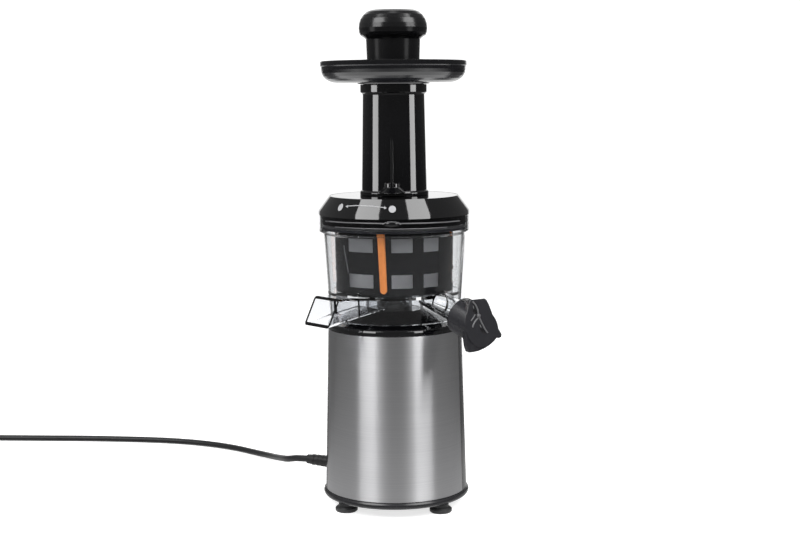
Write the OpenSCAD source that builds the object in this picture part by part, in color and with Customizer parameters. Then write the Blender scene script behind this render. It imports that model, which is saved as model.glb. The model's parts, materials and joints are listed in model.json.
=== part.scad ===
// Slow juicer: a round motor base that carries a clear juice bowl, a twist-on lid with its feed tube,
// a loading tray and a pusher. Millimetres, +Z up, the axis of the machine on the Z axis, floor at Z = 0,
// front towards -Y.

/* [Motor base] */
// Radius of the bottom rim
rim_r = 67.5; // [66:0.5:75]
// Height of the bottom rim
rim_h = 6; // [4:0.5:10]
// Radius of the housing at the bottom
shell_bottom_r = 65.5; // [62:0.5:66]
// Radius of the housing at the top
shell_top_r = 61.7; // [60:0.1:65]
// Height of the housing
shell_h = 150.4; // [145:0.1:190]
// Wall of the housing
shell_wall = 2.6; // [2:0.1:4]
// Thickness of the steel wrap
steel_t = 0.8; // [0.5:0.1:1.2]
// Half of the angle that the steel wrap covers, in degrees from the front
steel_half_angle = 72; // [55:1:85]
// Rise of the top deck from its edge to the hub
deck_rise = 17.1; // [12:0.1:22]
// Wall of the top deck
deck_wall = 2.8; // [2:0.1:4]
// Radius of the flat hub in the middle of the deck
hub_r = 27; // [26.8:0.1:30]

/* [Feet] */
// Height of a foot
foot_h = 8.5; // [6:0.5:14]
// Radius of a foot pad
foot_r = 10.2; // [8:0.1:12]
// Sideways distance of a foot from the axis
foot_x = 43; // [38:0.5:44]
// Fore and aft distance of a foot from the axis
foot_y = 38; // [32:0.5:39]

/* [Drive train] */
// Module of the gear teeth
gear_module = 0.95; // [0.85:0.01:1]
// Teeth on each small gear
small_teeth = 10; // [9:1:11]
// Teeth on each large gear
large_teeth = 40; // [36:1:41]
// Radius of the motor shaft
motor_shaft_r = 3; // [2.5:0.1:3.2]
// Radius of the rotor core
rotor_r = 19.5; // [16:0.5:22]
// Height of the laminated stack
stack_h = 36; // [28:1:38]
// Radius of the output shaft
shaft_r = 7; // [6:0.1:8]
// Width across the flats of the hexagonal drive end
hex_af = 11; // [9:0.1:11.5]
// Length of the hexagonal drive end above the hub
hex_h = 30; // [22:1:34]

/* [Juice bowl] */
// Height of the neck under the bowl floor
neck_h = 14.2; // [13:0.1:18]
// Radius of the neck under the bowl floor
neck_r = 26.5; // [24:0.1:26.7]
// Radius of the bowl at its lower edge
bowl_bottom_r = 60.3; // [59:0.1:62]
// Radius of the bowl under its collar
bowl_top_r = 65; // [64:0.1:67]
// Height of the bowl from the floor's underside to the collar
bowl_h = 56.7; // [54:0.1:75]
// Depth of the skirt below the bowl floor
skirt_h = 22.5; // [14:0.5:23]
// Wall of the bowl
bowl_wall = 2.6; // [2:0.1:3.2]
// Thickness of the bowl floor
floor_t = 3; // [2.5:0.1:4]
// Radius of the collar
collar_r = 68.7; // [68.4:0.1:72]
// Height of the collar
collar_h = 18.4; // [16:0.1:24]

/* [Pulp chute] */
// Direction of the pulp chute, in degrees left of the front
chute_angle = 45; // [40:1:50]
// Width of the pulp chute
chute_w = 35.4; // [30:0.1:38]
// Height of the pulp chute at its mouth
chute_h = 25; // [22:0.5:26]
// Distance from the axis to the upper lip of the mouth
chute_reach = 79; // [74:1:90]
// How much further the lower lip reaches
chute_lip = 13; // [8:0.5:16]
// Wall of the pulp chute
chute_wall = 2.4; // [2:0.1:3]

/* [Juice spout] */
// Direction of the juice spout, in degrees right of the front
spout_angle = 48; // [45:1:52]
// Slope of the juice spout, in degrees below level
spout_slope = 18; // [14:1:20]
// Outer radius of the spout tube
spout_r = 10.5; // [9.5:0.1:11]
// Wall of the spout tube
spout_wall = 2; // [1.6:0.1:2.4]
// Length of the spout tube beyond the bowl wall
spout_l = 26; // [24:0.5:34]
// Outer radius of the spout sleeve at its mouth
sleeve_r = 18.5; // [17:0.1:20]
// Length of the spout sleeve along its upper side
sleeve_l = 14; // [12:0.5:20]
// How much longer its lower side is
sleeve_slant = 20; // [14:0.5:22]
// Thickness of the spout flap
flap_t = 7; // [4:0.1:8]

/* [Lid and feed tube] */
// Height of the lid above the collar
lid_rise = 14.4; // [10:0.1:18]
// Radius of the flat top of the lid
lid_top_r = 58.8; // [55:0.1:62]
// Wall of the lid
lid_wall = 2.6; // [2:0.1:3]
// How far the feed tube stands behind the axis
tube_back = 8; // [4:0.5:9]
// Outer radius of the feed tube at its foot
tube_bottom_r = 30; // [29:0.1:32]
// Outer radius of the feed tube under its collar
tube_top_r = 28.4; // [27.9:0.1:29]
// Radius of the bore of the feed tube
tube_bore_r = 25.2; // [24.4:0.1:25.4]
// Height of the feed tube from the lid to its collar
tube_h = 94.3; // [85:0.1:110]
// Radius of the collar at the top of the feed tube
tube_collar_r = 30.6; // [30:0.1:32]
// Height of the collar at the top of the feed tube
tube_collar_h = 6.3; // [5:0.1:8]
// Angle that the lid turns between its two marks
lock_angle = 45; // [30:1:50]

/* [Loading tray] */
// Radius of the tray
tray_r = 66.9; // [60:0.1:72]
// Height of the tray
tray_h = 21; // [18:0.1:28]
// Wall of the tray
tray_wall = 2.6; // [2:0.1:3.2]

/* [Pusher] */
// Radius of the pusher body
pusher_r = 24.2; // [23:0.1:24.2]
// Height of the pusher's neck above the tray rim
pusher_neck = 20.5; // [16:0.5:26]
// Radius of the pusher's knob
knob_r = 31.3; // [28:0.1:33]
// Height of the pusher's knob
knob_h = 25; // [22:0.5:30]
// Length of the pusher body below the tray rim
pusher_l = 108; // [90:1:112]

/* [Strainer, brush and auger] */
// Radius of the strainer at the bottom
strainer_bottom_r = 38; // [37.5:0.1:38.4]
// Radius of the strainer at the top
strainer_top_r = 43; // [41:0.1:44]
// Wall of the strainer
strainer_wall = 2; // [1.6:0.1:2.2]
// Radius of the brush frame at the top
brush_top_r = 54; // [52:0.1:55]
// Height of the brush frame
brush_h = 51.5; // [48:0.5:52]
// Width of a silicone wiper
wiper_w = 7.2; // [6:0.1:9]
// Radius of the auger at the bottom of its flight
auger_r = 34; // [31:0.1:34.5]
// Turns of the auger flight
auger_turns = 2; // [1.5:0.25:3]

/* [Cord] */
// Diameter of the cord
cord_d = 6.4; // [5.5:0.1:7]
// Height of the cord gland above the floor
gland_z = 28; // [27:0.5:32]
// Turns in each of the coil's two layers
coil_turns = 2; // [1:1:3]

/* [Clearances] */
// Gap between pieces that lift, turn or slide past each other
gap = 0.3; // [0.25:0.05:0.5]
// Radial play of a shaft in its bearing
bearing_play = 0.05; // [0.02:0.01:0.1]

/* [Hidden] */
$fn = 96;

// Heights that follow from the sizes above, from the floor up
rim_z = foot_h;
shell_z = rim_z + rim_h;
deck_z = shell_z + shell_h;
hub_z = deck_z + deck_rise;
bowl_z = hub_z + gap;
floor_z = bowl_z + neck_h;
ledge_z = floor_z + bowl_h;
collar_top_z = ledge_z + collar_h;
lid_z = collar_top_z + lid_rise;
tube_collar_z = lid_z + tube_h;
tray_z = tube_collar_z + tube_collar_h + gap;
rim_top_z = tray_z + tray_h;

// Small fixed sizes
screw_r = 1.8;
screw_head_r = 3.4;
screw_head_h = 2.2;
overlap = 0.01;

// ---------------------------------------------------------------- shared shapes

// A ring with a rectangular section
module ring(outer, inner, height) {
    difference() {
        cylinder(r = outer, h = height);
        translate([0, 0, -1]) cylinder(r = inner, h = height + 2);
    }
}

// A conical ring with a wall of even thickness
module cone_ring(r_low, r_high, wall, height) {
    rotate_extrude() polygon([[r_low - wall, 0], [r_low, 0], [r_high, height], [r_high - wall, height]]);
}

// A sector of the plane, from one angle to another, that reaches out to a radius
module sector(radius, from, to) {
    steps = 12;
    polygon(concat([[0, 0]], [for (i = [0:steps]) let (a = from + (to - from) * i / steps)
        [radius * cos(a), radius * sin(a)]]));
}

// One gear as an outline: each tooth has a root, two points on each flank and a tip
module gear_outline(teeth, m, play = 0.12) {
    pitch_r = m * teeth / 2;
    tip_r = pitch_r + 0.85 * m;
    root_r = pitch_r - 1.15 * m;
    step = 360 / teeth;
    half = step / 4 - play / pitch_r * 180 / PI / 2;
    tip_half = half * (teeth < 15 ? 0.36 : 0.44);
    root_half = half * (teeth < 15 ? 1.22 : 1.5);
    polygon([for (t = [0:teeth - 1], p = [[-root_half, root_r], [-half, pitch_r], [-tip_half, tip_r],
            [tip_half, tip_r], [half, pitch_r], [root_half, root_r]])
        [p[1] * cos(t * step + p[0]), p[1] * sin(t * step + p[0])]]);
}

// A round screw with a pan head, head down
module screw(length) {
    cylinder(r = screw_head_r, h = screw_head_h);
    translate([0, 0, screw_head_h - overlap]) cylinder(r = screw_r, h = length);
}

// The four feet places
module at_feet() {
    for (sx = [-1, 1], sy = [-1, 1]) translate([sx * foot_x, sy * foot_y, 0]) children();
}

// ---------------------------------------------------------------- motor base

shell_slope = (shell_bottom_r - shell_top_r) / shell_h;
function shell_r(z) = shell_bottom_r - shell_slope * (z - shell_z);
cover_t = 2.5;
foot_stem_r = 0.72 * foot_r;
foot_pad_h = 4.5;

module foot_pads() {
    color("#1c1c1e") at_feet() difference() {
        rotate_extrude() polygon([[0, 0], [foot_r - 1, 0], [foot_r, 1], [foot_r, foot_pad_h - 1.2],
            [foot_r - 1.2, foot_pad_h], [foot_stem_r, foot_pad_h], [foot_stem_r, foot_h], [0, foot_h]]);
        translate([0, 0, -1]) cylinder(r = screw_head_r + gap, h = 3 + screw_head_h);
        translate([0, 0, -1]) cylinder(r = screw_r + 0.1, h = foot_h + 2);
    }
}

module foot_screws() {
    color("silver") at_feet() translate([0, 0, 2]) screw(foot_h - 2 - screw_head_h + cover_t + 5);
}

boss_h = 8;
module bottom_cover() {
    inner_r = shell_bottom_r - shell_wall - gap;
    color("#151517") difference() {
        union() {
            translate([0, 0, rim_z]) rotate_extrude() polygon([[0, 0], [rim_r - 3.2, 0], [rim_r - 1.4, 0.6],
                [rim_r - 0.4, 1.8], [rim_r, 3.2], [rim_r - 0.3, 4.6], [rim_r - 1.4, rim_h],
                [inner_r, rim_h], [inner_r - 0.1, rim_h + 4], [inner_r - 2.4, rim_h + 4],
                [inner_r - 2.4, cover_t], [0, cover_t]]);
            at_feet() translate([0, 0, rim_z + cover_t - overlap]) cylinder(r = 5, h = boss_h);
        }
        at_feet() translate([0, 0, rim_z - 1]) cylinder(r = screw_r, h = cover_t + boss_h + 2);
        for (i = [-3:3]) translate([i * 7 - 1.5, -14, rim_z - 1]) cube([3, 28, cover_t + 2]);
    }
}

// The steel wrap sits in a recess of its own depth
recess = steel_t + 0.1;
lap_z = 0.6;
vent_count = 6;
switch_z = 62;
switch_w = 27;
switch_h = 20;
gland_angle = 155;
gland_hole_r = 5.6;

module at_gland(distance) {
    rotate([0, 0, gland_angle]) translate([distance, 0, gland_z]) rotate([0, 90, 0]) children();
}

module base_housing() {
    color("#161618") difference() {
        translate([0, 0, shell_z]) cone_ring(shell_bottom_r, shell_top_r, shell_wall, shell_h);
        translate([0, 0, shell_z + lap_z]) intersection() {
            cone_ring(shell_r(shell_z + lap_z) + 2, shell_r(deck_z - lap_z) + 2, recess + 2,
                shell_h - 2 * lap_z);
            rotate([0, 0, -90]) linear_extrude(shell_h) sector(120, -steel_half_angle, steel_half_angle);
        }
        for (i = [0:vent_count - 1], a = [-14, 0, 14]) rotate([0, 0, 90 + a])
            translate([shell_top_r - 8, -6, shell_z + 84 + 6 * i]) cube([20, 12, 2.4]);
        translate([-switch_w / 2, 40, switch_z - switch_h / 2]) cube([switch_w, 40, switch_h]);
        at_gland(40) cylinder(r = gland_hole_r + gap, h = 40);
    }
}

module steel_wrap() {
    h = shell_h - 2 * lap_z - 2 * 0.1;
    a = steel_half_angle - 0.15;
    z = shell_z + lap_z + 0.1;
    color("#b9babd") translate([0, 0, z]) intersection() {
        cone_ring(shell_r(z), shell_r(z + h), steel_t, h);
        rotate([0, 0, -90]) linear_extrude(h) sector(120, -a, a);
    }
}

// The deck is a glossy dome round a flat hub, with a spigot that centres the bowl
spigot_r = 13.4;
spigot_h = 5.5;
seal_r = 12;
deck_edge_r = shell_top_r - 0.2;
deck_cone = (deck_rise - 5.6) / (deck_edge_r - 3 - hub_r);
deck_boss_r = 5;
deck_boss_at = 39;
deck_boss_z = deck_z - 27;

module deck_profile() {
    polygon([[seal_r - 2, deck_rise - deck_wall], [hub_r, deck_rise - deck_wall],
        [deck_edge_r - 4, 5.6 - deck_wall - 1], [deck_edge_r - deck_wall - 1, 0],
        [deck_edge_r - deck_wall - 1, -8], [shell_top_r - shell_wall - gap, -8],
        [shell_top_r - shell_wall - gap, 0], [deck_edge_r, 0], [deck_edge_r, 2.6],
        [deck_edge_r - 0.5, 4.1], [deck_edge_r - 1.5, 5.1], [deck_edge_r - 3, 5.6],
        [hub_r + 1.5, deck_rise - 0.6], [hub_r, deck_rise], [spigot_r, deck_rise],
        [spigot_r, deck_rise + spigot_h - 0.8], [spigot_r - 0.8, deck_rise + spigot_h],
        [seal_r, deck_rise + spigot_h], [seal_r, deck_rise - deck_wall + 1.6],
        [seal_r - 2, deck_rise - deck_wall + 1.6]]);
}

function deck_under(r) = deck_z + (r < hub_r ? deck_rise - deck_wall
    : deck_rise - deck_wall + (r - hub_r) / (deck_edge_r - 4 - hub_r) * (4.6 - deck_rise));

module top_deck() {
    color("#101012") difference() {
        union() {
            translate([0, 0, deck_z]) rotate_extrude() deck_profile();
            for (a = [45:90:315]) rotate([0, 0, a]) translate([deck_boss_at, 0, deck_boss_z])
                cylinder(r = deck_boss_r, h = deck_under(deck_boss_at) - deck_boss_z + 0.8);
        }
        for (a = [45:90:315]) rotate([0, 0, a]) translate([deck_boss_at, 0, deck_boss_z - 1])
            cylinder(r = screw_r, h = 14);
    }
}

module shaft_seal() {
    z = hub_z - deck_wall + 1.6 + 0.02;
    color("#3a3a3c") translate([0, 0, z]) ring(seal_r - 0.05, shaft_r + bearing_play, 5);
}

// ---------------------------------------------------------------- motor

gearbox_plate = 3;
gear_z = deck_boss_z - 42;
housing_wall = 3;
axle_d = gear_module * (small_teeth + large_teeth) / 2 + 0.1;
gear_tip_r = gear_module * (large_teeth / 2 + 0.85);
housing_r = axle_d + gear_tip_r + 1.2 + housing_wall;
bolt_at = 27;
bolt_r = 2;
stack_z = gear_z - 14 - stack_h;
stack_w = 2 * (bolt_at + 5);
bracket_t = 4;
bracket_z = stack_z - 16;
motor_bearing_r = 8;
motor_bearing_h = 5;
pole_gap = 0.8;

module at_bolts() {
    for (sx = [-1, 1], sy = [-1, 1]) translate([sx * bolt_at, sy * bolt_at, 0]) children();
}

module motor_stator() {
    color("#8a8c90") translate([0, 0, stack_z]) difference() {
        linear_extrude(stack_h) difference() {
            square(stack_w, center = true);
            circle(r = rotor_r + pole_gap);
            for (s = [-1, 1]) translate([s * (rotor_r + 3.4), 0]) square([5, 22], center = true);
        }
        at_bolts() translate([0, 0, -1]) cylinder(r = bolt_r + 0.05, h = stack_h + 2);
    }
}

module motor_windings() {
    head = 8;
    color("#b5653a") for (s = [-1, 1]) translate([s * (rotor_r + 3.4), 0, stack_z - head])
        union() {
            translate([-2.4, -10.9, 0]) cube([4.8, 21.8, stack_h + 2 * head]);
            for (z = [0, stack_h + head]) translate([-2.4, -17, z]) cube([4.8, 34, head]);
        }
}

module motor_bracket() {
    color("#77797c") difference() {
        union() {
            translate([0, 0, bracket_z]) linear_extrude(bracket_t) difference() {
                circle(r = motor_bearing_r + 3);
                circle(r = motor_bearing_r);
            }
            translate([0, 0, bracket_z]) linear_extrude(bracket_t) difference() {
                for (a = [45, 135]) rotate(a) square([2 * bolt_at * sqrt(2) + 12, 12], center = true);
                circle(r = motor_bearing_r + 1);
            }
            at_bolts() translate([0, 0, bracket_z + bracket_t - overlap])
                cylinder(r = 4, h = stack_z - bracket_z - bracket_t);
        }
        at_bolts() translate([0, 0, bracket_z - 1]) cylinder(r = bolt_r + 0.05, h = stack_z - bracket_z + 2);
    }
}

module motor_bolts() {
    color("silver") at_bolts() translate([0, 0, bracket_z - screw_head_h - overlap]) {
        cylinder(r = screw_head_r, h = screw_head_h);
        cylinder(r = bolt_r, h = gear_z - bracket_z + screw_head_h + gearbox_plate);
    }
}

pinion_top = gear_z + gearbox_plate + 9.5;
module motor_rotor() {
    color("#5b5d61") {
        translate([0, 0, stack_z - 28]) cylinder(r = motor_shaft_r, h = pinion_top - stack_z + 28);
        translate([0, 0, stack_z + 1]) cylinder(r = rotor_r, h = stack_h - 2);
        translate([0, 0, stack_z + stack_h]) cylinder(r = 11, h = 7);
        translate([0, 0, stack_z - 28]) {
            cylinder(r = 7, h = 8);
            cylinder(r = 24, h = 1.6);
            for (a = [0:30:330]) rotate([0, 0, a]) translate([6.5, -0.8, 0]) cube([17, 1.6, 8]);
        }
    }
    color("#c8a24a") translate([0, 0, gear_z + gearbox_plate + 1])
        linear_extrude(pinion_top - gear_z - gearbox_plate - 1) gear_outline(small_teeth, gear_module);
}

module motor_bearings() {
    color("silver") for (z = [bracket_z, gear_z - motor_bearing_h]) translate([0, 0, z])
        ring(motor_bearing_r - 0.02, motor_shaft_r + bearing_play, z == bracket_z ? bracket_t : motor_bearing_h);
}

// ---------------------------------------------------------------- gearbox

axle_r = 2;
axle_places = [[axle_d, 0], [axle_d * cos(60), axle_d * sin(60)]];
face_h = 7;
first_z = gear_z + gearbox_plate + 2;
second_z = first_z + face_h + 1.5;
third_z = second_z + face_h + 1.5;
gearbox_top = deck_boss_z - 4;

module gearbox_housing() {
    color("#cfd0d2") difference() {
        union() {
            translate([0, 0, gear_z]) cylinder(r = housing_r, h = gearbox_top - gear_z);
            translate([0, 0, gear_z - motor_bearing_h]) cylinder(r = motor_bearing_r + 3, h = motor_bearing_h + 1);
            at_bolts() translate([0, 0, stack_z + stack_h])
                cylinder(r = 4, h = gear_z - stack_z - stack_h + overlap);
        }
        translate([0, 0, gear_z + gearbox_plate]) cylinder(r = housing_r - housing_wall, h = 100);
        translate([0, 0, gear_z - motor_bearing_h - 1]) cylinder(r = motor_bearing_r, h = motor_bearing_h + 1);
        translate([0, 0, gear_z - 1]) cylinder(r = motor_shaft_r + 1, h = 10);
        at_bolts() translate([0, 0, stack_z]) cylinder(r = bolt_r + 0.05, h = 100);
        for (p = axle_places) translate([p[0], p[1], gear_z + gearbox_plate - 2]) cylinder(r = axle_r + 0.02, h = 10);
    }
}

cover_plate = 4;
shaft_bearing_r = 13;
shaft_bearing_h = 6;
cover_boss_h = 2 * shaft_bearing_h + 6;

module gearbox_cover() {
    color("#cfd0d2") difference() {
        union() {
            translate([0, 0, gearbox_top]) cylinder(r = housing_r, h = cover_plate);
            translate([0, 0, gearbox_top + cover_plate - overlap])
                cylinder(r = shaft_bearing_r + 3, h = cover_boss_h - cover_plate);
        }
        translate([0, 0, gearbox_top - 1]) cylinder(r = shaft_r + 1.5, h = cover_boss_h + 2);
        translate([0, 0, gearbox_top - 1]) cylinder(r = shaft_bearing_r, h = shaft_bearing_h + 1);
        translate([0, 0, gearbox_top + cover_boss_h - shaft_bearing_h])
            cylinder(r = shaft_bearing_r, h = shaft_bearing_h + 1);
        for (a = [45:90:315]) rotate([0, 0, a]) translate([deck_boss_at, 0, gearbox_top - 1])
            cylinder(r = screw_r + 0.1, h = cover_plate + 2);
        for (p = axle_places) translate([p[0], p[1], gearbox_top - 1]) cylinder(r = axle_r + 0.02, h = 3);
    }
}

module deck_screws() {
    color("silver") for (a = [45:90:315]) rotate([0, 0, a])
        translate([deck_boss_at, 0, gearbox_top - screw_head_h]) screw(cover_plate + 10);
}

module gear_axles() {
    color("silver") for (p = axle_places) translate([p[0], p[1], gear_z + gearbox_plate - 2])
        cylinder(r = axle_r, h = gearbox_top + 2 - gear_z - gearbox_plate + 2 - 0.1);
}

// A large gear below and a small gear above, turning on an axle
module compound_gear(z, place, small_h, phase_low, phase_high) {
    difference() {
        translate([place[0], place[1], z]) {
            rotate(phase_low) linear_extrude(face_h) gear_outline(large_teeth, gear_module);
            translate([0, 0, face_h - overlap]) rotate(phase_high)
                linear_extrude(small_h) gear_outline(small_teeth, gear_module);
        }
        translate([place[0], place[1], z - 1]) cylinder(r = axle_r + bearing_play, h = face_h + small_h + 2);
    }
}

// A gear that meets its driver with a tooth against a gap, seen along the line between the centres
function mesh_phase(teeth, line, driver_teeth, driver_phase) =
    line + 180 + 180 / teeth + (line - driver_phase) * driver_teeth / teeth;

first_phase = mesh_phase(large_teeth, 0, small_teeth, 0);
second_phase = mesh_phase(large_teeth, 120, small_teeth, 0);
output_phase = mesh_phase(large_teeth, 240, small_teeth, 0);

module first_gear() {
    color("#e8e4d8") compound_gear(first_z, axle_places[0], face_h + 2, first_phase, 0);
}

module second_gear() {
    color("#e8e4d8") compound_gear(second_z, axle_places[1], face_h + 2.5, second_phase, 0);
}

module drive_shaft() {
    shaft_z = third_z + 0.5;
    color("#9c9ea2") {
        translate([0, 0, shaft_z]) rotate(output_phase) linear_extrude(face_h) gear_outline(large_teeth, gear_module);
        translate([0, 0, shaft_z]) cylinder(r = shaft_r, h = hub_z + spigot_h + 0.5 - shaft_z);
        translate([0, 0, hub_z + spigot_h]) rotate(30)
            cylinder(r = hex_af / sqrt(3), h = hex_h - spigot_h, $fn = 6);
    }
}

module shaft_bearings() {
    color("silver") for (z = [gearbox_top, gearbox_top + cover_boss_h - shaft_bearing_h])
        translate([0, 0, z]) ring(shaft_bearing_r - 0.02, shaft_r + bearing_play, shaft_bearing_h);
}

// ---------------------------------------------------------------- electrics

board_z = rim_z + cover_t + boss_h + 0.05;
board_t = 1.6;
board_w = 16;
// The board lies across the two front bosses, in front of the fan
module control_board() {
    color("#2f6b45") difference() {
        intersection() {
            translate([-foot_x - 6, -foot_y - 6, board_z]) cube([2 * foot_x + 12, board_w, board_t]);
            cylinder(r = shell_top_r - shell_wall - 2, h = board_z + board_t);
        }
        at_feet() translate([0, 0, board_z - 1]) cylinder(r = screw_r + 0.5, h = 4);
    }
    color("#30343a") for (x = [-26, -6, 14]) translate([x, -foot_y - 4, board_z + board_t - overlap])
        cube([12, 10, 7]);
}

bezel_t = 2;
bezel_lip = 2;
bezel_wall = 3;
rocker_w = switch_w - 2 * bezel_wall - 2 * gap;
rocker_h = switch_h - 2 * bezel_wall - 2 * gap;
rocker_pin_r = 1.4;
rocker_pin_l = 1.8;
rocker_y = shell_r(switch_z) - 4;

module rocker_pin(r, l) {
    translate([0, rocker_y, switch_z]) rotate([0, 90, 0]) cylinder(r = r, h = l, center = true);
}

// A frame that clips into the housing, with a curved back to its outer lip and two pin holes at its sides
module switch_bezel() {
    y = shell_r(switch_z);
    depth = 14;
    color("#0f0f10") difference() {
        union() {
            difference() {
                translate([-switch_w / 2 - bezel_lip, y - 3, switch_z - switch_h / 2 - bezel_lip])
                    cube([switch_w + 2 * bezel_lip, bezel_t + 3, switch_h + 2 * bezel_lip]);
                translate([0, 0, shell_z]) cylinder(r1 = shell_bottom_r + 0.02, r2 = shell_top_r + 0.02, h = shell_h);
            }
            translate([-switch_w / 2 + gap, y - depth, switch_z - switch_h / 2 + gap])
                cube([switch_w - 2 * gap, depth + 0.5, switch_h - 2 * gap]);
        }
        translate([-switch_w / 2 + bezel_wall, y - depth + 2, switch_z - switch_h / 2 + bezel_wall])
            cube([switch_w - 2 * bezel_wall, depth + 5, switch_h - 2 * bezel_wall]);
        rocker_pin(rocker_pin_r + bearing_play, rocker_w + 2 * gap + 2 * rocker_pin_l);
    }
}

module rocker_switch() {
    edge = rocker_h / 2 - 1.2;
    color("#232325") {
        translate([0, rocker_y, switch_z]) rotate([90, 0, 90]) linear_extrude(rocker_w, center = true)
            polygon([[-4, -2.2], [0, -3], [3.6, -edge + 0.8], [8, -edge], [6.6, 0], [8, edge],
                [3.6, edge - 0.8], [0, 3], [-4, 2.2]]);
        rocker_pin(rocker_pin_r, rocker_w + 2 * rocker_pin_l);
    }
}

// The cord leaves the base at the back on its left, dips to the floor and runs off to the side
boot_l = 32;
boot_r = 4.9;
module strain_relief() {
    r0 = shell_r(gland_z);
    color("#161618") at_gland(r0 - 6) difference() {
        union() {
            cylinder(r = gland_hole_r, h = 7);
            cylinder(r = gland_hole_r + 2, h = 2.8);
            translate([0, 0, 6.6]) cylinder(r1 = boot_r + 1, r2 = boot_r - 0.4, h = boot_l - 0.6);
            for (i = [0:4]) translate([0, 0, 9 + 5.2 * i]) cylinder(r = boot_r + 0.9 - 0.15 * i, h = 2.6);
        }
        translate([0, 0, -1]) cylinder(r = cord_d / 2, h = 8);
    }
}

boot_end = shell_r(gland_z) + boot_l;
cord_start = [boot_end * cos(gland_angle), boot_end * sin(gland_angle), gland_z];
cord_rest_z = cord_d / 2 + 0.1;
cord_points = [
    [-12, 6, -1], [-21, 15, -4], [-28, 30, -7.5], [-34, 48, -11.5], [-41, 68, -16], [-49, 88, -20],
    [-60, 107, -23]
];
cord_floor_points = [
    [-164, 166], [-182, 180], [-206, 194], [-236, 206], [-272, 214], [-312, 218], [-354, 220], [-400, 220],
    [-450, 220]
];
coil_center = [-512, 263];
coil_out_r = 43;
coil_pitch = cord_d + 1.6;
coil_layer = cord_d + 1.2;

// Two layers: in at the bottom, up a layer in the half turn at the middle, and out again on top
coil_steps = 24;
coil_in_r = coil_out_r - coil_pitch * coil_turns;
coil_end_turns = 2 * coil_turns + 0.25;
function coil_angle(t) = -90 - 360 * t;
function coil_radius(t) = t < coil_turns ? coil_out_r - coil_pitch * t
    : t < coil_turns + 0.5 ? coil_in_r : coil_in_r + coil_pitch * (t - coil_turns - 0.5);
function coil_height(t) = cord_rest_z + coil_layer * min(1, max(0, (t - coil_turns) * 2));
function coil_point(t) = [coil_center[0] + coil_radius(t) * cos(coil_angle(t)),
    coil_center[1] + coil_radius(t) * sin(coil_angle(t)), coil_height(t)];
coil_first = [coil_center[0] + cord_d, coil_center[1] - coil_out_r, cord_rest_z];
coil_last_dir = [sin(coil_angle(coil_end_turns)), -cos(coil_angle(coil_end_turns)), 0];
coil_last = coil_point(coil_end_turns) + cord_d * coil_last_dir;
coil_path = concat([coil_first], [for (i = [0:coil_end_turns * coil_steps]) coil_point(i / coil_steps)],
    [coil_last]);

cord_route = concat([cord_start],
    [for (p = cord_points) [cord_start[0] + p[0], cord_start[1] + p[1], gland_z + p[2]]],
    [for (p = cord_floor_points) [p[0], p[1], cord_rest_z]],
    [coil_first]);

// A point on a smooth curve through four neighbouring points
function spline(a, b, c, d, t) = 0.5 * ((2 * b) + (c - a) * t + (2 * a - 5 * b + 4 * c - d) * t * t
    + (3 * b - a - 3 * c + d) * t * t * t);
function route_point(path, i, t) = spline(path[max(i - 1, 0)], path[i], path[i + 1],
    path[min(i + 2, len(path) - 1)], t);
function smooth_route(path, n) = concat(
    [for (i = [0:len(path) - 2], k = [0:n - 1]) route_point(path, i, k / n)], [path[len(path) - 1]]);

function unit(v) = v / norm(v);
function path_length(path) = len(path) < 2 ? 0 : sum([for (i = [1:len(path) - 1]) norm(path[i] - path[i - 1])]);
function sum(list, i = 0, total = 0) = i >= len(list) ? total : sum(list, i + 1, total + list[i]);

// A tube swept along a path, with a flat below and above so that it lies on the floor
module tube_along(path, radius, sides, start_dir, end_dir) {
    n = len(path);
    turn = sides % 4 == 0 ? 0.5 : 0;
    dirs = [for (i = [0:n - 1]) i == 0 ? start_dir : i == n - 1 ? end_dir : unit(path[i + 1] - path[i - 1])];
    rings = [for (i = [0:n - 1]) let (side = unit(cross(dirs[i], [0, 0, 1])), up = cross(side, dirs[i]))
        for (k = [0:sides - 1]) let (a = 360 * (k + turn) / sides)
            path[i] + radius / cos(180 / sides) * (cos(a) * side + sin(a) * up)];
    body = [for (i = [0:n - 2], k = [0:sides - 1]) let (a = i * sides + k, b = i * sides + (k + 1) % sides)
        each [[a, b, b + sides], [a, b + sides, a + sides]]];
    start_cap = [for (k = [1:sides - 2]) [0, k + 1, k]];
    last = (n - 1) * sides;
    end_cap = [for (k = [1:sides - 2]) [last, last + k, last + k + 1]];
    polyhedron(points = rings, faces = concat(body, start_cap, end_cap));
}

module cord_run() {
    color("#141415") tube_along(smooth_route(cord_route, 2), cord_d / 2 * 0.98, 8,
        [cos(gland_angle), sin(gland_angle), 0], [-1, 0, 0]);
}

module cord_coil() {
    color("#141415") tube_along(coil_path, cord_d / 2 * 0.98, 6, [-1, 0, 0], coil_last_dir);
}

// The least distance between two stretches of the coil that aren't neighbours
coil_least = min([for (i = [0:len(coil_path) - 1], j = [i + coil_steps / 2:1:len(coil_path) - 1])
    norm(coil_path[i] - coil_path[j])]) - cord_d;
echo(cord_length = path_length(smooth_route(cord_route, 2)) + path_length(coil_path),
    coil_least_gap = coil_least);

plug_w = 35;
plug_t = 2 * (cord_rest_z + coil_layer) - 0.3;
plug_neck_l = 22;
plug_body_l = 34;
pin_r = 2.4;
pin_l = 19;
pin_pitch = 19;

module at_plug() {
    translate(coil_last) rotate([-90, 0, 0]) children();
}

// A flat block with rounded corners
module plug_block(w, t, l) {
    linear_extrude(l) offset(r = 4, $fn = 24) square([w - 8, t - 8], center = true);
}

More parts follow.
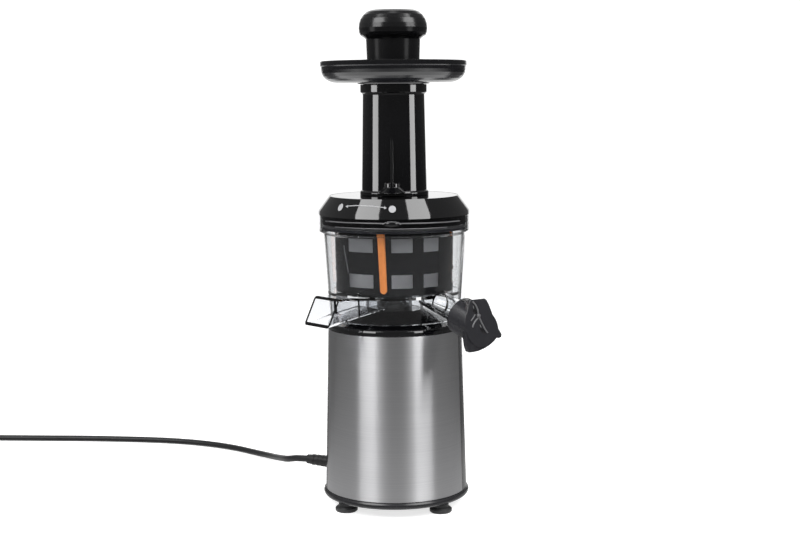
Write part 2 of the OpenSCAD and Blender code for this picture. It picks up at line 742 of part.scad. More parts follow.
module power_plug() {
    color("#161618") at_plug() difference() {
        union() {
            cylinder(r1 = cord_d / 2 + 0.4, r2 = cord_d / 2 + 2, h = plug_neck_l);
            hull() {
                translate([0, 0, plug_neck_l - 4]) cylinder(r = cord_d / 2 + 2.6, h = 1, $fn = 32);
                translate([0, 0, plug_neck_l + 8]) plug_block(plug_w - 6, plug_t - 2, 1);
            }
            hull() {
                translate([0, 0, plug_neck_l + 8]) plug_block(plug_w - 6, plug_t - 2, 1);
                translate([0, 0, plug_neck_l + 20]) plug_block(plug_w, plug_t, plug_body_l - 20);
            }
        }
        for (s = [-1, 1]) translate([s * pin_pitch / 2, 0, plug_neck_l + plug_body_l - 8])
            cylinder(r = pin_r, h = 10);
    }
}

module plug_pins() {
    color("silver") at_plug() for (s = [-1, 1])
        translate([s * pin_pitch / 2, 0, plug_neck_l + plug_body_l - 8]) {
            cylinder(r = pin_r - 0.02, h = 8 + pin_l - 1.5);
            translate([0, 0, 8 + pin_l - 1.5 - overlap]) cylinder(r1 = pin_r - 0.02, r2 = pin_r - 1, h = 1.5);
        }
}

// ---------------------------------------------------------------- juice bowl

neck_bore_r = spigot_r + gap;
auger_boss_r = 10.5;
bowl_slope = (bowl_top_r - bowl_bottom_r) / (bowl_h + skirt_h);
function bowl_r(z) = bowl_bottom_r + bowl_slope * (z - floor_z + skirt_h);
ledge_t = 3;
brush_foot_r = 46;
guide_h = 3;

// The chute's direction and the spout's, as rotations about the axis
module along_chute() {
    rotate([0, 0, -90 - chute_angle]) children();
}
spout_root_r = 45;
spout_root_z = floor_z + 0.5;
module along_spout(t) {
    rotate([0, 0, -90 + spout_angle]) translate([spout_root_r, 0, spout_root_z])
        rotate([0, 90 + spout_slope, 0]) translate([0, 0, t]) children();
}

chute_in_r = neck_r + 1;
chute_top_z = floor_z + 2.7;
chute_low_z = chute_top_z - chute_h;
chute_in_low_z = hub_z + 1.2;
chute_corner = 3;

// The chute's block: a low inner end under the bowl floor that grows to the tall slanted mouth
module chute_block(inset, extra) {
    z_in = [chute_in_low_z + inset, floor_z - inset];
    w = chute_w / 2 - inset;
    r = max(chute_corner - inset, 0.8);
    in_r = chute_in_r + (inset > 0 ? inset : 0);
    hull() {
        for (s = [-1, 1]) {
            translate([in_r, s * (w - r), z_in[0] + r]) rotate([0, 90, 0]) cylinder(r = r, h = 0.1, $fn = 24);
            translate([in_r, s * (w - r), z_in[1] - r]) rotate([0, 90, 0]) cylinder(r = r, h = 0.1, $fn = 24);
            translate([chute_reach + chute_lip + 6 + extra, s * (w - r), chute_low_z - chute_drop + inset + r])
                rotate([0, 90, 0]) cylinder(r = r, h = 0.1, $fn = 24);
            translate([chute_reach + chute_lip + 6 + extra, s * (w - r), chute_top_z + chute_rise - inset - r])
                rotate([0, 90, 0]) cylinder(r = r, h = 0.1, $fn = 24);
        }
    }
}
chute_far = chute_reach + chute_lip + 6;
chute_rise = (chute_top_z - floor_z) / (chute_reach - chute_in_r) * (chute_far - chute_reach);
chute_drop = (chute_in_low_z - chute_low_z) / (chute_reach + chute_lip - chute_in_r) * 6;

// Everything beyond the slanted mouth
module beyond_mouth(w) {
    rotate([90, 0, 0]) linear_extrude(w, center = true) polygon([[chute_reach - chute_lip / chute_h * 40,
        chute_top_z + 40], [chute_reach + chute_lip + chute_lip / chute_h * 40, chute_low_z - 40],
        [chute_far + 60, chute_low_z - 40], [chute_far + 60, chute_top_z + 40]]);
}

pulp_hole_r = [chute_in_r + 1.2, 35];
pulp_hole_w = 22;
module pulp_hole() {
    translate([pulp_hole_r[0], -pulp_hole_w / 2, floor_z - 5])
        cube([pulp_hole_r[1] - pulp_hole_r[0], pulp_hole_w, 14]);
}

module juice_bowl() {
    inner_low = bowl_r(floor_z) - bowl_wall;
    inner_floor = bowl_r(floor_z + floor_t) - bowl_wall;
    inner_top = bowl_top_r - bowl_wall;
    color([0.85, 0.88, 0.9, 0.45]) difference() {
        union() {
            translate([0, 0, floor_z]) rotate_extrude() polygon([
                [neck_bore_r, -neck_h], [neck_bore_r + 2.4, -neck_h], [neck_bore_r + 2.4, 0],
                [neck_r - 2.4, 0], [neck_r - 2.4, -neck_h], [neck_r, -neck_h], [neck_r, 0], [inner_low, 0],
                [bowl_bottom_r - bowl_wall, -skirt_h], [bowl_bottom_r - 1, -skirt_h],
                [bowl_bottom_r, 1 - skirt_h], [bowl_top_r, bowl_h - 1.5], [bowl_top_r + 0.6, bowl_h],
                [collar_r - 1.5, bowl_h], [collar_r - 0.4, bowl_h + 0.5], [collar_r, bowl_h + 1.6],
                [collar_r, bowl_h + collar_h - 0.5], [collar_r - 0.5, bowl_h + collar_h],
                [collar_r - bowl_wall, bowl_h + collar_h], [collar_r - bowl_wall, bowl_h + ledge_t],
                [inner_top, bowl_h + ledge_t], [inner_top, bowl_h], [inner_floor, floor_t],
                [brush_foot_r + 2.6, floor_t], [brush_foot_r + 2.6, floor_t + guide_h],
                [brush_foot_r + 0.6, floor_t + guide_h], [brush_foot_r + 0.6, floor_t],
                [neck_bore_r, floor_t]]);
            // A guide rib up the right side of the wall
            intersection() {
                rotate([0, 0, -4]) translate([bowl_bottom_r - 2, -2, floor_z - skirt_h + 3])
                    cube([bowl_top_r - bowl_bottom_r + 2, 4, bowl_h + skirt_h - 4]);
                translate([0, 0, floor_z - skirt_h]) difference() {
                    cylinder(r = bowl_top_r, h = bowl_h + skirt_h);
                    translate([0, 0, -0.5])
                        cylinder(r1 = bowl_bottom_r - 1, r2 = bowl_top_r - 1, h = bowl_h + skirt_h + 1);
                }
            }
        }
        along_chute() {
            chute_block(-0.05, 0);
            pulp_hole();
        }
        along_spout(-4) cylinder(r = spout_r + 0.05, h = 40);
        translate([0, 0, idler_z]) rotate([0, 0, idler_angle]) translate([idler_d, 0, -floor_t - 1])
            cylinder(r = idler_pin_r + 0.05, h = floor_t + 2);
    }
}

module bowl_seal() {
    color("#d8d8d4") translate([0, 0, floor_z]) ring(neck_bore_r - 0.02, auger_boss_r + 0.1, floor_t);
}

module pulp_chute() {
    color([0.8, 0.82, 0.85, 0.5]) along_chute() difference() {
        chute_block(0, 0);
        chute_block(chute_wall, 1);
        beyond_mouth(2 * chute_w);
        pulp_hole();
    }
}

spout_in = -3.5;
spout_wall_t = (bowl_r(spout_root_z) - spout_root_r) / cos(spout_slope);
spout_end = spout_wall_t + spout_l;
module juice_spout() {
    color([0.85, 0.88, 0.9, 0.45]) difference() {
        along_spout(spout_in) cylinder(r = spout_r, h = spout_end - spout_in);
        along_spout(spout_in + spout_wall) cylinder(r = spout_r - spout_wall, h = spout_end + 20);
        intersection() {
            translate([0, 0, floor_z]) cylinder(r = bowl_r(floor_z) - bowl_wall, h = 40);
            along_spout(-12) cylinder(r = 2 * spout_r, h = 60);
        }
    }
}

sleeve_start = spout_end - 12;
sleeve_back_r = sleeve_r - 2;
sleeve_wall = 2.2;
sleeve_stop = 13;
mouth_tilt = atan(sleeve_slant / (2 * sleeve_r));
mouth_mid = sleeve_start + sleeve_l + sleeve_slant / 2;
knuckle_r = 2.4;
knuckle_w = 6;
hinge_w = 15;
hinge_pin_r = 1.2;
hinge_x = sleeve_r / cos(mouth_tilt) + knuckle_r + 0.6;

// The sleeve's cone, made thinner by an inset and longer by an extra length
module sleeve_shape(inset, extra) {
    l = sleeve_l + sleeve_slant + 4;
    cylinder(r1 = sleeve_back_r - inset, r2 = sleeve_back_r - inset + 2 * (l + extra) / l, h = l + extra);
}

// The sleeve's mouth as a local ground plane, with -X towards the hinge at the top
module at_mouth() {
    along_spout(mouth_mid) rotate([0, -mouth_tilt, 0]) children();
}

module hinge_line(r, w) {
    at_mouth() translate([-hinge_x, 0, 0]) rotate([90, 0, 0]) cylinder(r = r, h = w, center = true);
}

module spout_sleeve() {
    color("#1a1a1c") difference() {
        union() {
            difference() {
                along_spout(sleeve_start) sleeve_shape(0, 0);
                at_mouth() translate([-60, -60, 0]) cube([120, 120, 60]);
            }
            at_mouth() translate([-hinge_x, -knuckle_w / 2, -6]) cube([5, knuckle_w, 6]);
            hinge_line(knuckle_r, knuckle_w);
        }
        along_spout(sleeve_start + sleeve_stop) sleeve_shape(sleeve_wall, 10);
        along_spout(sleeve_start - 1) cylinder(r = spout_r + 0.05, h = sleeve_stop + 2);
        hinge_line(hinge_pin_r, hinge_w);
    }
}

module spout_flap() {
    ear_w = (hinge_w - knuckle_w) / 2 - gap;
    color("#1d1d1f") difference() {
        union() {
            intersection() {
                along_spout(sleeve_start) sleeve_shape(-0.5, 30);
                at_mouth() translate([-60, -60, gap]) cube([120, 120, flap_t]);
            }
            for (s = [-1, 1]) at_mouth() translate([0, s * (knuckle_w / 2 + gap + ear_w / 2), 0]) {
                translate([-hinge_x, 0, 0]) rotate([90, 0, 0]) cylinder(r = knuckle_r, h = ear_w, center = true);
                translate([-hinge_x, -ear_w / 2, gap]) cube([6, ear_w, knuckle_r - gap]);
            }
            at_mouth() translate([sleeve_r / cos(mouth_tilt) - 3, -5, gap + flap_t - 3.2]) cube([8, 10, 3.2]);
        }
        hinge_line(hinge_pin_r + bearing_play, 2 * hinge_w);
        at_mouth() translate([-hinge_x - 5, -knuckle_w / 2 - gap, -5])
            cube([knuckle_r + 5 + gap, knuckle_w + 2 * gap, 5 + 2 * knuckle_r]);
    }
}

module flap_pin() {
    color("silver") hinge_line(hinge_pin_r - 0.01, hinge_w - 1);
}

// ---------------------------------------------------------------- brush drive, brush and strainer

bowl_module = 1.6;
auger_teeth = 18;
idler_teeth = 14;
ring_teeth = auger_teeth + 2 * idler_teeth;
idler_d = bowl_module * (auger_teeth + idler_teeth) / 2 + 0.1;
idler_angle = 90;
idler_pin_r = 2.5;
floor_top_z = floor_z + floor_t;
idler_z = floor_top_z + 0.4;
bowl_gear_h = 3.8;
idler_phase = mesh_phase(idler_teeth, idler_angle, auger_teeth, 0);

module idler_gear() {
    color("#e8e4d8") rotate([0, 0, idler_angle]) translate([idler_d, 0, 0]) {
        translate([0, 0, idler_z]) rotate(idler_phase - idler_angle)
            linear_extrude(bowl_gear_h) gear_outline(idler_teeth, bowl_module, 0.2);
        translate([0, 0, floor_z + 0.2]) cylinder(r = idler_pin_r, h = floor_t + 1);
    }
}

brush_z = floor_top_z + 0.4;
brush_top_z = brush_z + brush_h;
brush_foot_h = 4;
brush_wall = 2.6;
brush_slope = (brush_top_r - brush_foot_r) / (brush_h - brush_foot_h);
function brush_r(z) = brush_foot_r + brush_slope * max(0, z - brush_z - brush_foot_h);
top_band = 12.5;
mid_ring_z = brush_z + 18;
mid_ring_h = 2.6;
bar_step = 40;
first_bar = -90 - 13.5;
wide_bar = 20;
narrow_bar = 13;
ring_phase = 180 / ring_teeth;

module brush_windows(z, h) {
    translate([0, 0, z]) linear_extrude(h) for (i = [0:8]) {
        from = first_bar + i * bar_step + (i % 3 == 0 ? wide_bar : narrow_bar) / 2;
        to = first_bar + (i + 1) * bar_step - (i % 3 == 2 ? wide_bar : narrow_bar) / 2;
        sector(brush_top_r + 20, from, to);
    }
}

module brush_frame() {
    tooth_tip = bowl_module * ring_teeth / 2 - 0.85 * bowl_module;
    color("#2c2d30") difference() {
        translate([0, 0, brush_z]) rotate_extrude() polygon([[tooth_tip, 0], [brush_foot_r, 0],
            [brush_foot_r, brush_foot_h], [brush_top_r, brush_h], [brush_top_r - brush_wall, brush_h],
            [brush_foot_r - brush_wall, brush_foot_h + 0.5], [brush_foot_r - brush_wall, brush_foot_h],
            [tooth_tip, brush_foot_h]]);
        brush_windows(brush_z + brush_foot_h + 1, mid_ring_z - brush_z - brush_foot_h - 1);
        brush_windows(mid_ring_z + mid_ring_h, brush_top_z - top_band - mid_ring_z - mid_ring_h);
        translate([0, 0, brush_z - 1]) rotate(ring_phase) linear_extrude(brush_foot_h + 2)
            ring_gap_outline();
        at_wide_bars() wiper_shape(0.02);
    }
}

// The hollow of an internal gear: an outline with its teeth turned outwards
module ring_gap_outline() {
    pitch_r = bowl_module * ring_teeth / 2;
    step = 360 / ring_teeth;
    half = step / 4 + 0.1 / pitch_r * 180 / PI;
    inner_r = pitch_r - 0.85 * bowl_module;
    outer_r = pitch_r + 1.15 * bowl_module;
    polygon([for (t = [0:ring_teeth - 1], p = [[-half * 1.45, inner_r - 0.01], [-half, pitch_r],
            [-half * 0.55, outer_r], [half * 0.55, outer_r], [half, pitch_r], [half * 1.45, inner_r - 0.01]])
        [p[1] * cos(t * step + p[0]), p[1] * sin(t * step + p[0])]]);
}

wiper_base = 2.2;
wiper_web = 2.4;
wiper_lip = 1.4;
wiper_low_z = brush_z + brush_foot_h + 0.1;
wiper_high_z = brush_top_z - 1.1;

module at_wide_bars() {
    for (i = [0:2]) rotate([0, 0, first_bar + i * 3 * bar_step]) children();
}

// A wiper's section runs from the strainer, through the brush frame, to the bowl wall
module wiper_shape(grow) {
    from_z = wiper_low_z;
    to_z = wiper_high_z;
    module slab(inner_low, inner_high, outer_low, outer_high, width) {
        rotate([90, 0, 0]) linear_extrude(width + 2 * grow, center = true) polygon([
            [inner_low, from_z - grow], [outer_low, from_z - grow], [outer_high, to_z + grow],
            [inner_high, to_z + grow]]);
    }
    r0 = brush_r(from_z);
    r1 = brush_r(to_z);
    slab(r0 - 0.8 - grow, r1 - 0.8 - grow, r0 - 0.8 + wiper_base, r1 - 0.8 + wiper_base, wiper_w);
    slab(strainer_r(from_z) + 0.5, strainer_r(to_z) + 0.5, r0, r1, wiper_web);
    slab(r0, r1, bowl_r(from_z) - bowl_wall - 0.8, bowl_r(to_z) - bowl_wall - 0.8, wiper_lip);
}

module silicone_wipers() {
    color("#e0702c") at_wide_bars() wiper_shape(0);
}

strainer_z = brush_z + brush_foot_h + 0.4;
flange_z = ledge_z + ledge_t + 0.05;
flange_t = 2;
strainer_floor_t = 2;
strainer_slope = (strainer_top_r - strainer_bottom_r) / (flange_z - strainer_z);
function strainer_r(z) = strainer_bottom_r + strainer_slope * max(0, z - strainer_z);
mesh_low_z = strainer_z + strainer_floor_t + 0.6;
mesh_h = 12.4;
mesh_t = 0.4;
strainer_windows = 8;
strainer_floor_z = strainer_z + strainer_floor_t;
strainer_in_low_r = strainer_r(strainer_floor_z) - strainer_wall;
strainer_in_slope = (strainer_top_r - strainer_wall - strainer_in_low_r) / (flange_z + flange_t - strainer_floor_z);
function strainer_in_r(z) = strainer_in_low_r + strainer_in_slope * (z - strainer_floor_z);
auger_gear_r = bowl_module * auger_teeth / 2 + bowl_module;

module strainer_frame() {
    flange_r = collar_r - bowl_wall - gap;
    color("#1e1f21") difference() {
        rotate_extrude() polygon([[auger_gear_r + 0.6, strainer_z], [strainer_bottom_r, strainer_z],
            [strainer_top_r, flange_z], [flange_r, flange_z], [flange_r, flange_z + flange_t],
            [strainer_top_r - strainer_wall, flange_z + flange_t],
            [strainer_in_low_r, strainer_floor_z], [auger_gear_r + 0.6, strainer_floor_z]]);
        translate([0, 0, mesh_low_z + 0.8]) linear_extrude(mesh_h - 1.6)
            for (i = [0:strainer_windows - 1]) sector(80, i * 360 / strainer_windows - 18,
                i * 360 / strainer_windows + 18);
        along_chute() translate([22, -9, strainer_z - 1]) cube([12, 18, strainer_floor_t + 2]);
    }
}

module strainer_mesh() {
    play = 0.02;
    color("#a9abae") translate([0, 0, mesh_low_z])
        cone_ring(strainer_in_r(mesh_low_z) - play, strainer_in_r(mesh_low_z + mesh_h) - play, mesh_t, mesh_h);
}

// ---------------------------------------------------------------- auger

auger_bottom_z = floor_z - 2;
flight_z = strainer_z + strainer_floor_t + 0.8;
flight_top_z = lid_z - lid_wall - 16;
flight_shoulder_z = ledge_z - 4;
flight_t = 3.6;
auger_top_r = 21;
pivot_r = 4;
bar_z = lid_z - lid_wall - 11;
bar_h = 7;
function flight_r(z) = z < flight_shoulder_z ? auger_r
    : auger_r + (auger_top_r - auger_r) * (z - flight_shoulder_z) / (flight_top_z - flight_shoulder_z);

// A helical ribbon round the core
module flight(start_angle) {
    n = round(auger_turns * 20);
    rise = flight_top_z - flight_z - flight_t;
    points = [for (i = [0:n]) let (u = i / n, z = flight_z + rise * u, a = start_angle + 360 * auger_turns * u,
        r = flight_r(z)) each [
            [9 * cos(a), 9 * sin(a), z], [r * cos(a), r * sin(a), z + flight_t * 0.2],
            [r * cos(a), r * sin(a), z + flight_t * 0.8], [9 * cos(a), 9 * sin(a), z + flight_t]]];
    sides = [for (i = [0:n - 1], k = [0:3]) let (a = 4 * i + k, b = 4 * i + (k + 1) % 4)
        each [[a, b, b + 4], [a, b + 4, a + 4]]];
    polyhedron(points = points, faces = concat(sides, [[0, 2, 1], [0, 3, 2]],
        [[4 * n, 4 * n + 1, 4 * n + 2], [4 * n, 4 * n + 2, 4 * n + 3]]));
}

module auger() {
    core_z = flight_z;
    color("#26272a") difference() {
        union() {
            rotate_extrude() polygon([[0, auger_bottom_z], [auger_boss_r, auger_bottom_z],
                [auger_boss_r, core_z], [20, core_z + 6], [19, core_z + 14], [13, flight_top_z - 4],
                [11, flight_top_z + 1], [pivot_r, flight_top_z + 1], [pivot_r, bar_z + bar_h - 1],
                [pivot_r - 1, bar_z + bar_h], [0, bar_z + bar_h]]);
            translate([0, 0, idler_z]) linear_extrude(bowl_gear_h)
                gear_outline(auger_teeth, bowl_module, 0.2);
            flight(0);
        }
        translate([0, 0, auger_bottom_z - 1]) rotate(30)
            cylinder(r = (hex_af + 0.4) / sqrt(3), h = hub_z + hex_h - auger_bottom_z + 2, $fn = 6);
    }
}

// ---------------------------------------------------------------- lid, feed tube, tray and pusher

lid_skirt_r = collar_r - bowl_wall - gap;
skirt_z = flange_z + flange_t + 2.8;
tube_foot_r = tube_bottom_r - 2;

module lid() {
    brim_z = collar_top_z + gap;
    color("#0c0c0d") difference() {
        rotate_extrude() polygon([[lid_skirt_r, skirt_z], [lid_skirt_r, brim_z], [collar_r - 0.3, brim_z],
            [collar_r, brim_z + 0.4], [collar_r - 0.1, brim_z + 1.1], [lid_top_r + 0.7, lid_z - 0.8],
            [lid_top_r, lid_z - 0.15], [lid_top_r - 0.8, lid_z], [0, lid_z], [0, lid_z - lid_wall],
            [lid_top_r - 1.6, lid_z - lid_wall], [lid_skirt_r - 3.2, brim_z + 0.5],
            [lid_skirt_r - 3, skirt_z]]);
        translate([0, tube_back, lid_z - 40]) cylinder(r = tube_foot_r, h = 60);
    }
}

module lid_seal() {
    color("#d8d8d4") translate([0, 0, flange_z + flange_t + 0.1])
        ring(lid_skirt_r - 0.2, lid_skirt_r - 4.5, skirt_z - flange_z - flange_t - 0.12);
}

tube_flange_h = 4.5;
tube_seat_h = 9;
module feed_tube() {
    foot_z = bar_z;
    tube_top_z = tray_z + tube_seat_h;
    color("#0c0c0d") {
        translate([0, tube_back, 0]) difference() {
            union() {
                rotate_extrude() polygon([[tube_foot_r - 0.02, foot_z], [tube_foot_r - 0.02, lid_z + 0.02],
                    [tube_bottom_r + 1.4, lid_z + 0.02], [tube_bottom_r + 1.6, lid_z + 0.6],
                    [tube_bottom_r + 1.6, lid_z + tube_flange_h - 1.4],
                    [tube_bottom_r + 0.9, lid_z + tube_flange_h - 0.3], [tube_bottom_r, lid_z + tube_flange_h],
                    [tube_top_r, tube_collar_z - 3], [tube_top_r + 0.5, tube_collar_z - 2],
                    [tube_collar_r - 0.6, tube_collar_z - 1.4], [tube_collar_r, tube_collar_z - 0.6],
                    [tube_collar_r, tube_collar_z + tube_collar_h - 0.6],
                    [tube_collar_r - 0.6, tube_collar_z + tube_collar_h],
                    [tube_top_r - 0.8, tube_collar_z + tube_collar_h], [tube_top_r - 0.8, tube_top_z - 0.6],
                    [tube_top_r - 1.4, tube_top_z], [10, tube_top_z], [10, foot_z]]);
                tube_gusset();
            }
            translate([0, 0, foot_z - 1]) cylinder(r = tube_bore_r, h = tube_top_z);
        }
        difference() {
            union() {
                intersection() {
                    translate([-3.5, tube_back - 40, bar_z]) cube([7, 80, bar_h]);
                    translate([0, tube_back, bar_z - 1]) cylinder(r = tube_bore_r + 1, h = bar_h + 2);
                }
                translate([0, 0, bar_z]) cylinder(r = pivot_r + 3.5, h = bar_h + 1.5);
            }
            translate([0, 0, bar_z - 1]) cylinder(r = pivot_r + bearing_play, h = bar_h + 1.3);
        }
    }
}

// The web and boss that stand against the front of the tube
module tube_gusset() {
    z0 = lid_z + tube_flange_h - 1;
    boss_top = 8.5;
    web_top = 47;
    translate([0, 1 - tube_bottom_r, 0]) {
        rotate([0, 0, 180]) translate([-1.1, 0, 0]) rotate([90, 0, 90]) linear_extrude(2.2)
            polygon([[-1.4, z0], [7, z0], [7, z0 + boss_top + 1], [1, z0 + web_top], [-2, z0 + web_top]]);
        translate([0, 0, z0]) cylinder(r = 6.5, h = boss_top);
        translate([0, 0, z0]) cylinder(r1 = 12, r2 = 6.5, h = 5);
    }
}

module loading_tray() {
    bore = tube_top_r - 0.8 + gap;
    t = tray_wall;
    color("#111113") translate([0, tube_back, tray_z]) rotate_extrude() polygon(concat(
        [[bore, 0], [bore + 4.6, 0], [bore + 5.2, 1], [tray_r - 14, 1.4]],
        [for (a = [-75:15:0]) [tray_r - 15 + 14 * cos(a), 13 + 11.6 * sin(a)]],
        [[tray_r - 0.8, tray_h - 5], [tray_r, tray_h - 4.4], [tray_r, tray_h - 1.2], [tray_r - 0.5, tray_h - 0.3],
            [tray_r - 1.6, tray_h], [tray_r - 2.8, tray_h - 0.5], [tray_r - 1 - t, tray_h - 5]],
        [for (a = [0:-15:-90]) [tray_r - 15 + (14 - t) * cos(a), 13 + (11.6 - t + 0.2) * sin(a)]],
        [[bore + 4.6, 1.4 + t], [bore + t, 1.4 + t + 4], [bore + t - 0.4, tube_seat_h - 0.4],
            [bore + 0.8, tube_seat_h], [bore, tube_seat_h - 0.6]]));
}

module pusher() {
    z = rim_top_z;
    k = z + pusher_neck;
    wall = 2.4;
    shoulder_z = tray_z + tube_seat_h + gap;
    n = pusher_r + 0.6;
    color("#0c0c0d") translate([0, tube_back, 0]) rotate_extrude() polygon([
        [pusher_r - 1, z - pusher_l], [pusher_r, z - pusher_l + 1.5], [pusher_r, shoulder_z],
        [tube_top_r - 1, shoulder_z], [tube_top_r - 1, shoulder_z + 2.4], [pusher_r, shoulder_z + 3.4],
        [pusher_r, z + 2], [n, k - 1.2], [n + 1.4, k + 0.2], [knob_r - 1.6, k + 0.1 * knob_h],
        [knob_r - 0.4, k + 0.2 * knob_h], [knob_r, k + 0.36 * knob_h], [knob_r - 0.4, k + 0.52 * knob_h],
        [knob_r - 1.7, k + 0.68 * knob_h], [knob_r - 4.2, k + 0.83 * knob_h], [knob_r - 7.4, k + 0.94 * knob_h],
        [knob_r - 11, k + knob_h], [0, k + knob_h], [0, k + knob_h - wall], [knob_r - 12, k + knob_h - wall],
        [pusher_r - wall, k + knob_h - 9], [pusher_r - wall, z - pusher_l + 1]]);
}

foot_pads();
foot_screws();
bottom_cover();
base_housing();
steel_wrap();
top_deck();
deck_screws();
shaft_seal();
motor_stator();
motor_windings();
motor_bracket();
motor_bolts();
motor_rotor();
motor_bearings();
gearbox_housing();
gearbox_cover();
gear_axles();
first_gear();
second_gear();
drive_shaft();
shaft_bearings();
control_board();
switch_bezel();
rocker_switch();
strain_relief();
cord_run();
cord_coil();
power_plug();
plug_pins();
juice_bowl();
bowl_seal();
pulp_chute();
juice_spout();
spout_sleeve();
spout_flap();
flap_pin();
idler_gear();
brush_frame();
silicone_wipers();
strainer_frame();
strainer_mesh();
auger();
lid();
lid_seal();
feed_tube();
loading_tray();
pusher();
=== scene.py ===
"""A cold press juicer in a pale studio: finishes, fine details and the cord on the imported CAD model."""

import json
import math

import bmesh
import bpy
from mathutils import Matrix, Vector
from mathutils.bvhtree import BVHTree


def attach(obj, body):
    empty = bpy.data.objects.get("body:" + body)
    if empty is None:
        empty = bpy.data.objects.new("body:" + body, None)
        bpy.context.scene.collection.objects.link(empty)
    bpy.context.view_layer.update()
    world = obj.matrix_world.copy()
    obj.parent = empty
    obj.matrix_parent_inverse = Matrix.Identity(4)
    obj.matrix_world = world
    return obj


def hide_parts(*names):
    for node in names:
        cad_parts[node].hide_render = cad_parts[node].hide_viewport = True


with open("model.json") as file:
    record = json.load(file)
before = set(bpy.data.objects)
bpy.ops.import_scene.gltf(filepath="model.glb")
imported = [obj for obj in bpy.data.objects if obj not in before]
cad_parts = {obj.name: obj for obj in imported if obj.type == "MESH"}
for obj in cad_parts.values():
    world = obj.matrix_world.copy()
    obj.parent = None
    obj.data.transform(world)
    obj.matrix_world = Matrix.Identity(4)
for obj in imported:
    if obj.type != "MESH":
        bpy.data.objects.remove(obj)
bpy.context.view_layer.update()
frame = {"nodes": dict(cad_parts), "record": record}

MM = 0.001
UP = Vector((0, 0, 1))

# ---------------------------------------------------------------- camera

CAMERA_AZIMUTH = 4.0  # degrees to the right of the object's front
CAMERA_SIDE = CAMERA_AZIMUTH - 90  # the direction from the axis to the camera, in degrees
CAMERA_DISTANCE = 1.340
CAMERA_HEIGHT = 0.3789
AIM_HEIGHT = 0.2201
AIM_RIGHT = 0.219  # degrees, which puts the object's axis left of the middle
CAMERA_ROLL = 0.5
CLIP_START = 0.05
FOCAL_PX = 1466.0
IMAGE_SIZE = (800, 533)
SENSOR_MM = 36.0


def add_object(name, data):
    made = bpy.data.objects.new(name, data)
    bpy.context.collection.objects.link(made)
    return made


def make_camera():
    azimuth, roll, aside = (math.radians(a) for a in (CAMERA_AZIMUTH, CAMERA_ROLL, AIM_RIGHT))
    place = Vector((
        CAMERA_DISTANCE * math.sin(azimuth),
        -CAMERA_DISTANCE * math.cos(azimuth),
        CAMERA_HEIGHT,
    ))
    ahead = (Vector((0, 0, AIM_HEIGHT)) - place).normalized()
    level = ahead.cross(UP).normalized()
    over = level.cross(ahead)
    right = level * math.cos(roll) - over * math.sin(roll)
    up = level * math.sin(roll) + over * math.cos(roll)
    ahead, right = (
        ahead * math.cos(aside) + right * math.sin(aside),
        right * math.cos(aside) - ahead * math.sin(aside),
    )
    data = bpy.data.cameras.new("camera")
    data.sensor_width = SENSOR_MM
    data.lens = FOCAL_PX * SENSOR_MM / IMAGE_SIZE[0]
    data.clip_start = CLIP_START
    made = add_object("camera", data)
    made.matrix_world = Matrix.Translation(place) @ Matrix((right, up, -ahead)).transposed().to_4x4()
    bpy.context.scene.camera = made
    return made


camera = make_camera()


def pixel_ray(u, v):
    """The camera's place and the direction through a pixel of the 800 by 533 frame."""
    turn = camera.matrix_world.to_3x3()
    sideways, upwards = u - IMAGE_SIZE[0] / 2, IMAGE_SIZE[1] / 2 - v
    return camera.matrix_world.translation, (turn @ Vector((sideways, upwards, -FOCAL_PX))).normalized()


# ---------------------------------------------------------------- materials


class Nodes:
    """A node tree with the node calls that the finishes, the stage and the world share."""

    def __init__(self, tree):
        self.tree = tree

    def feed(self, socket, value):
        """Links a socket to another one, or gives it a plain value."""
        if isinstance(value, bpy.types.NodeSocket):
            self.tree.links.new(value, socket)
        else:
            socket.default_value = value

    def node(self, kind, inputs=(), **settings):
        made = self.tree.nodes.new(kind)
        for key, value in settings.items():
            setattr(made, key, value)
        for key, value in dict(inputs).items():
            self.feed(made.inputs[key], value)
        return made

    def math(self, operation, *values):
        return self.node("ShaderNodeMath", dict(enumerate(values)), operation=operation).outputs[0]

    def spread(self, value, low, high, source=(0.3, 0.7)):
        made = self.node(
            "ShaderNodeMapRange",
            {"Value": value, "From Min": source[0], "From Max": source[1], "To Min": low, "To Max": high},
        )
        return made.outputs[0]

    def seen_directly(self):
        """1 for the rays that show the background: camera, glossy and transmission rays."""
        path = self.node("ShaderNodeLightPath")
        first = self.math("MAXIMUM", path.outputs["Is Camera Ray"], path.outputs["Is Glossy Ray"])
        return self.math("MAXIMUM", first, path.outputs["Is Transmission Ray"])


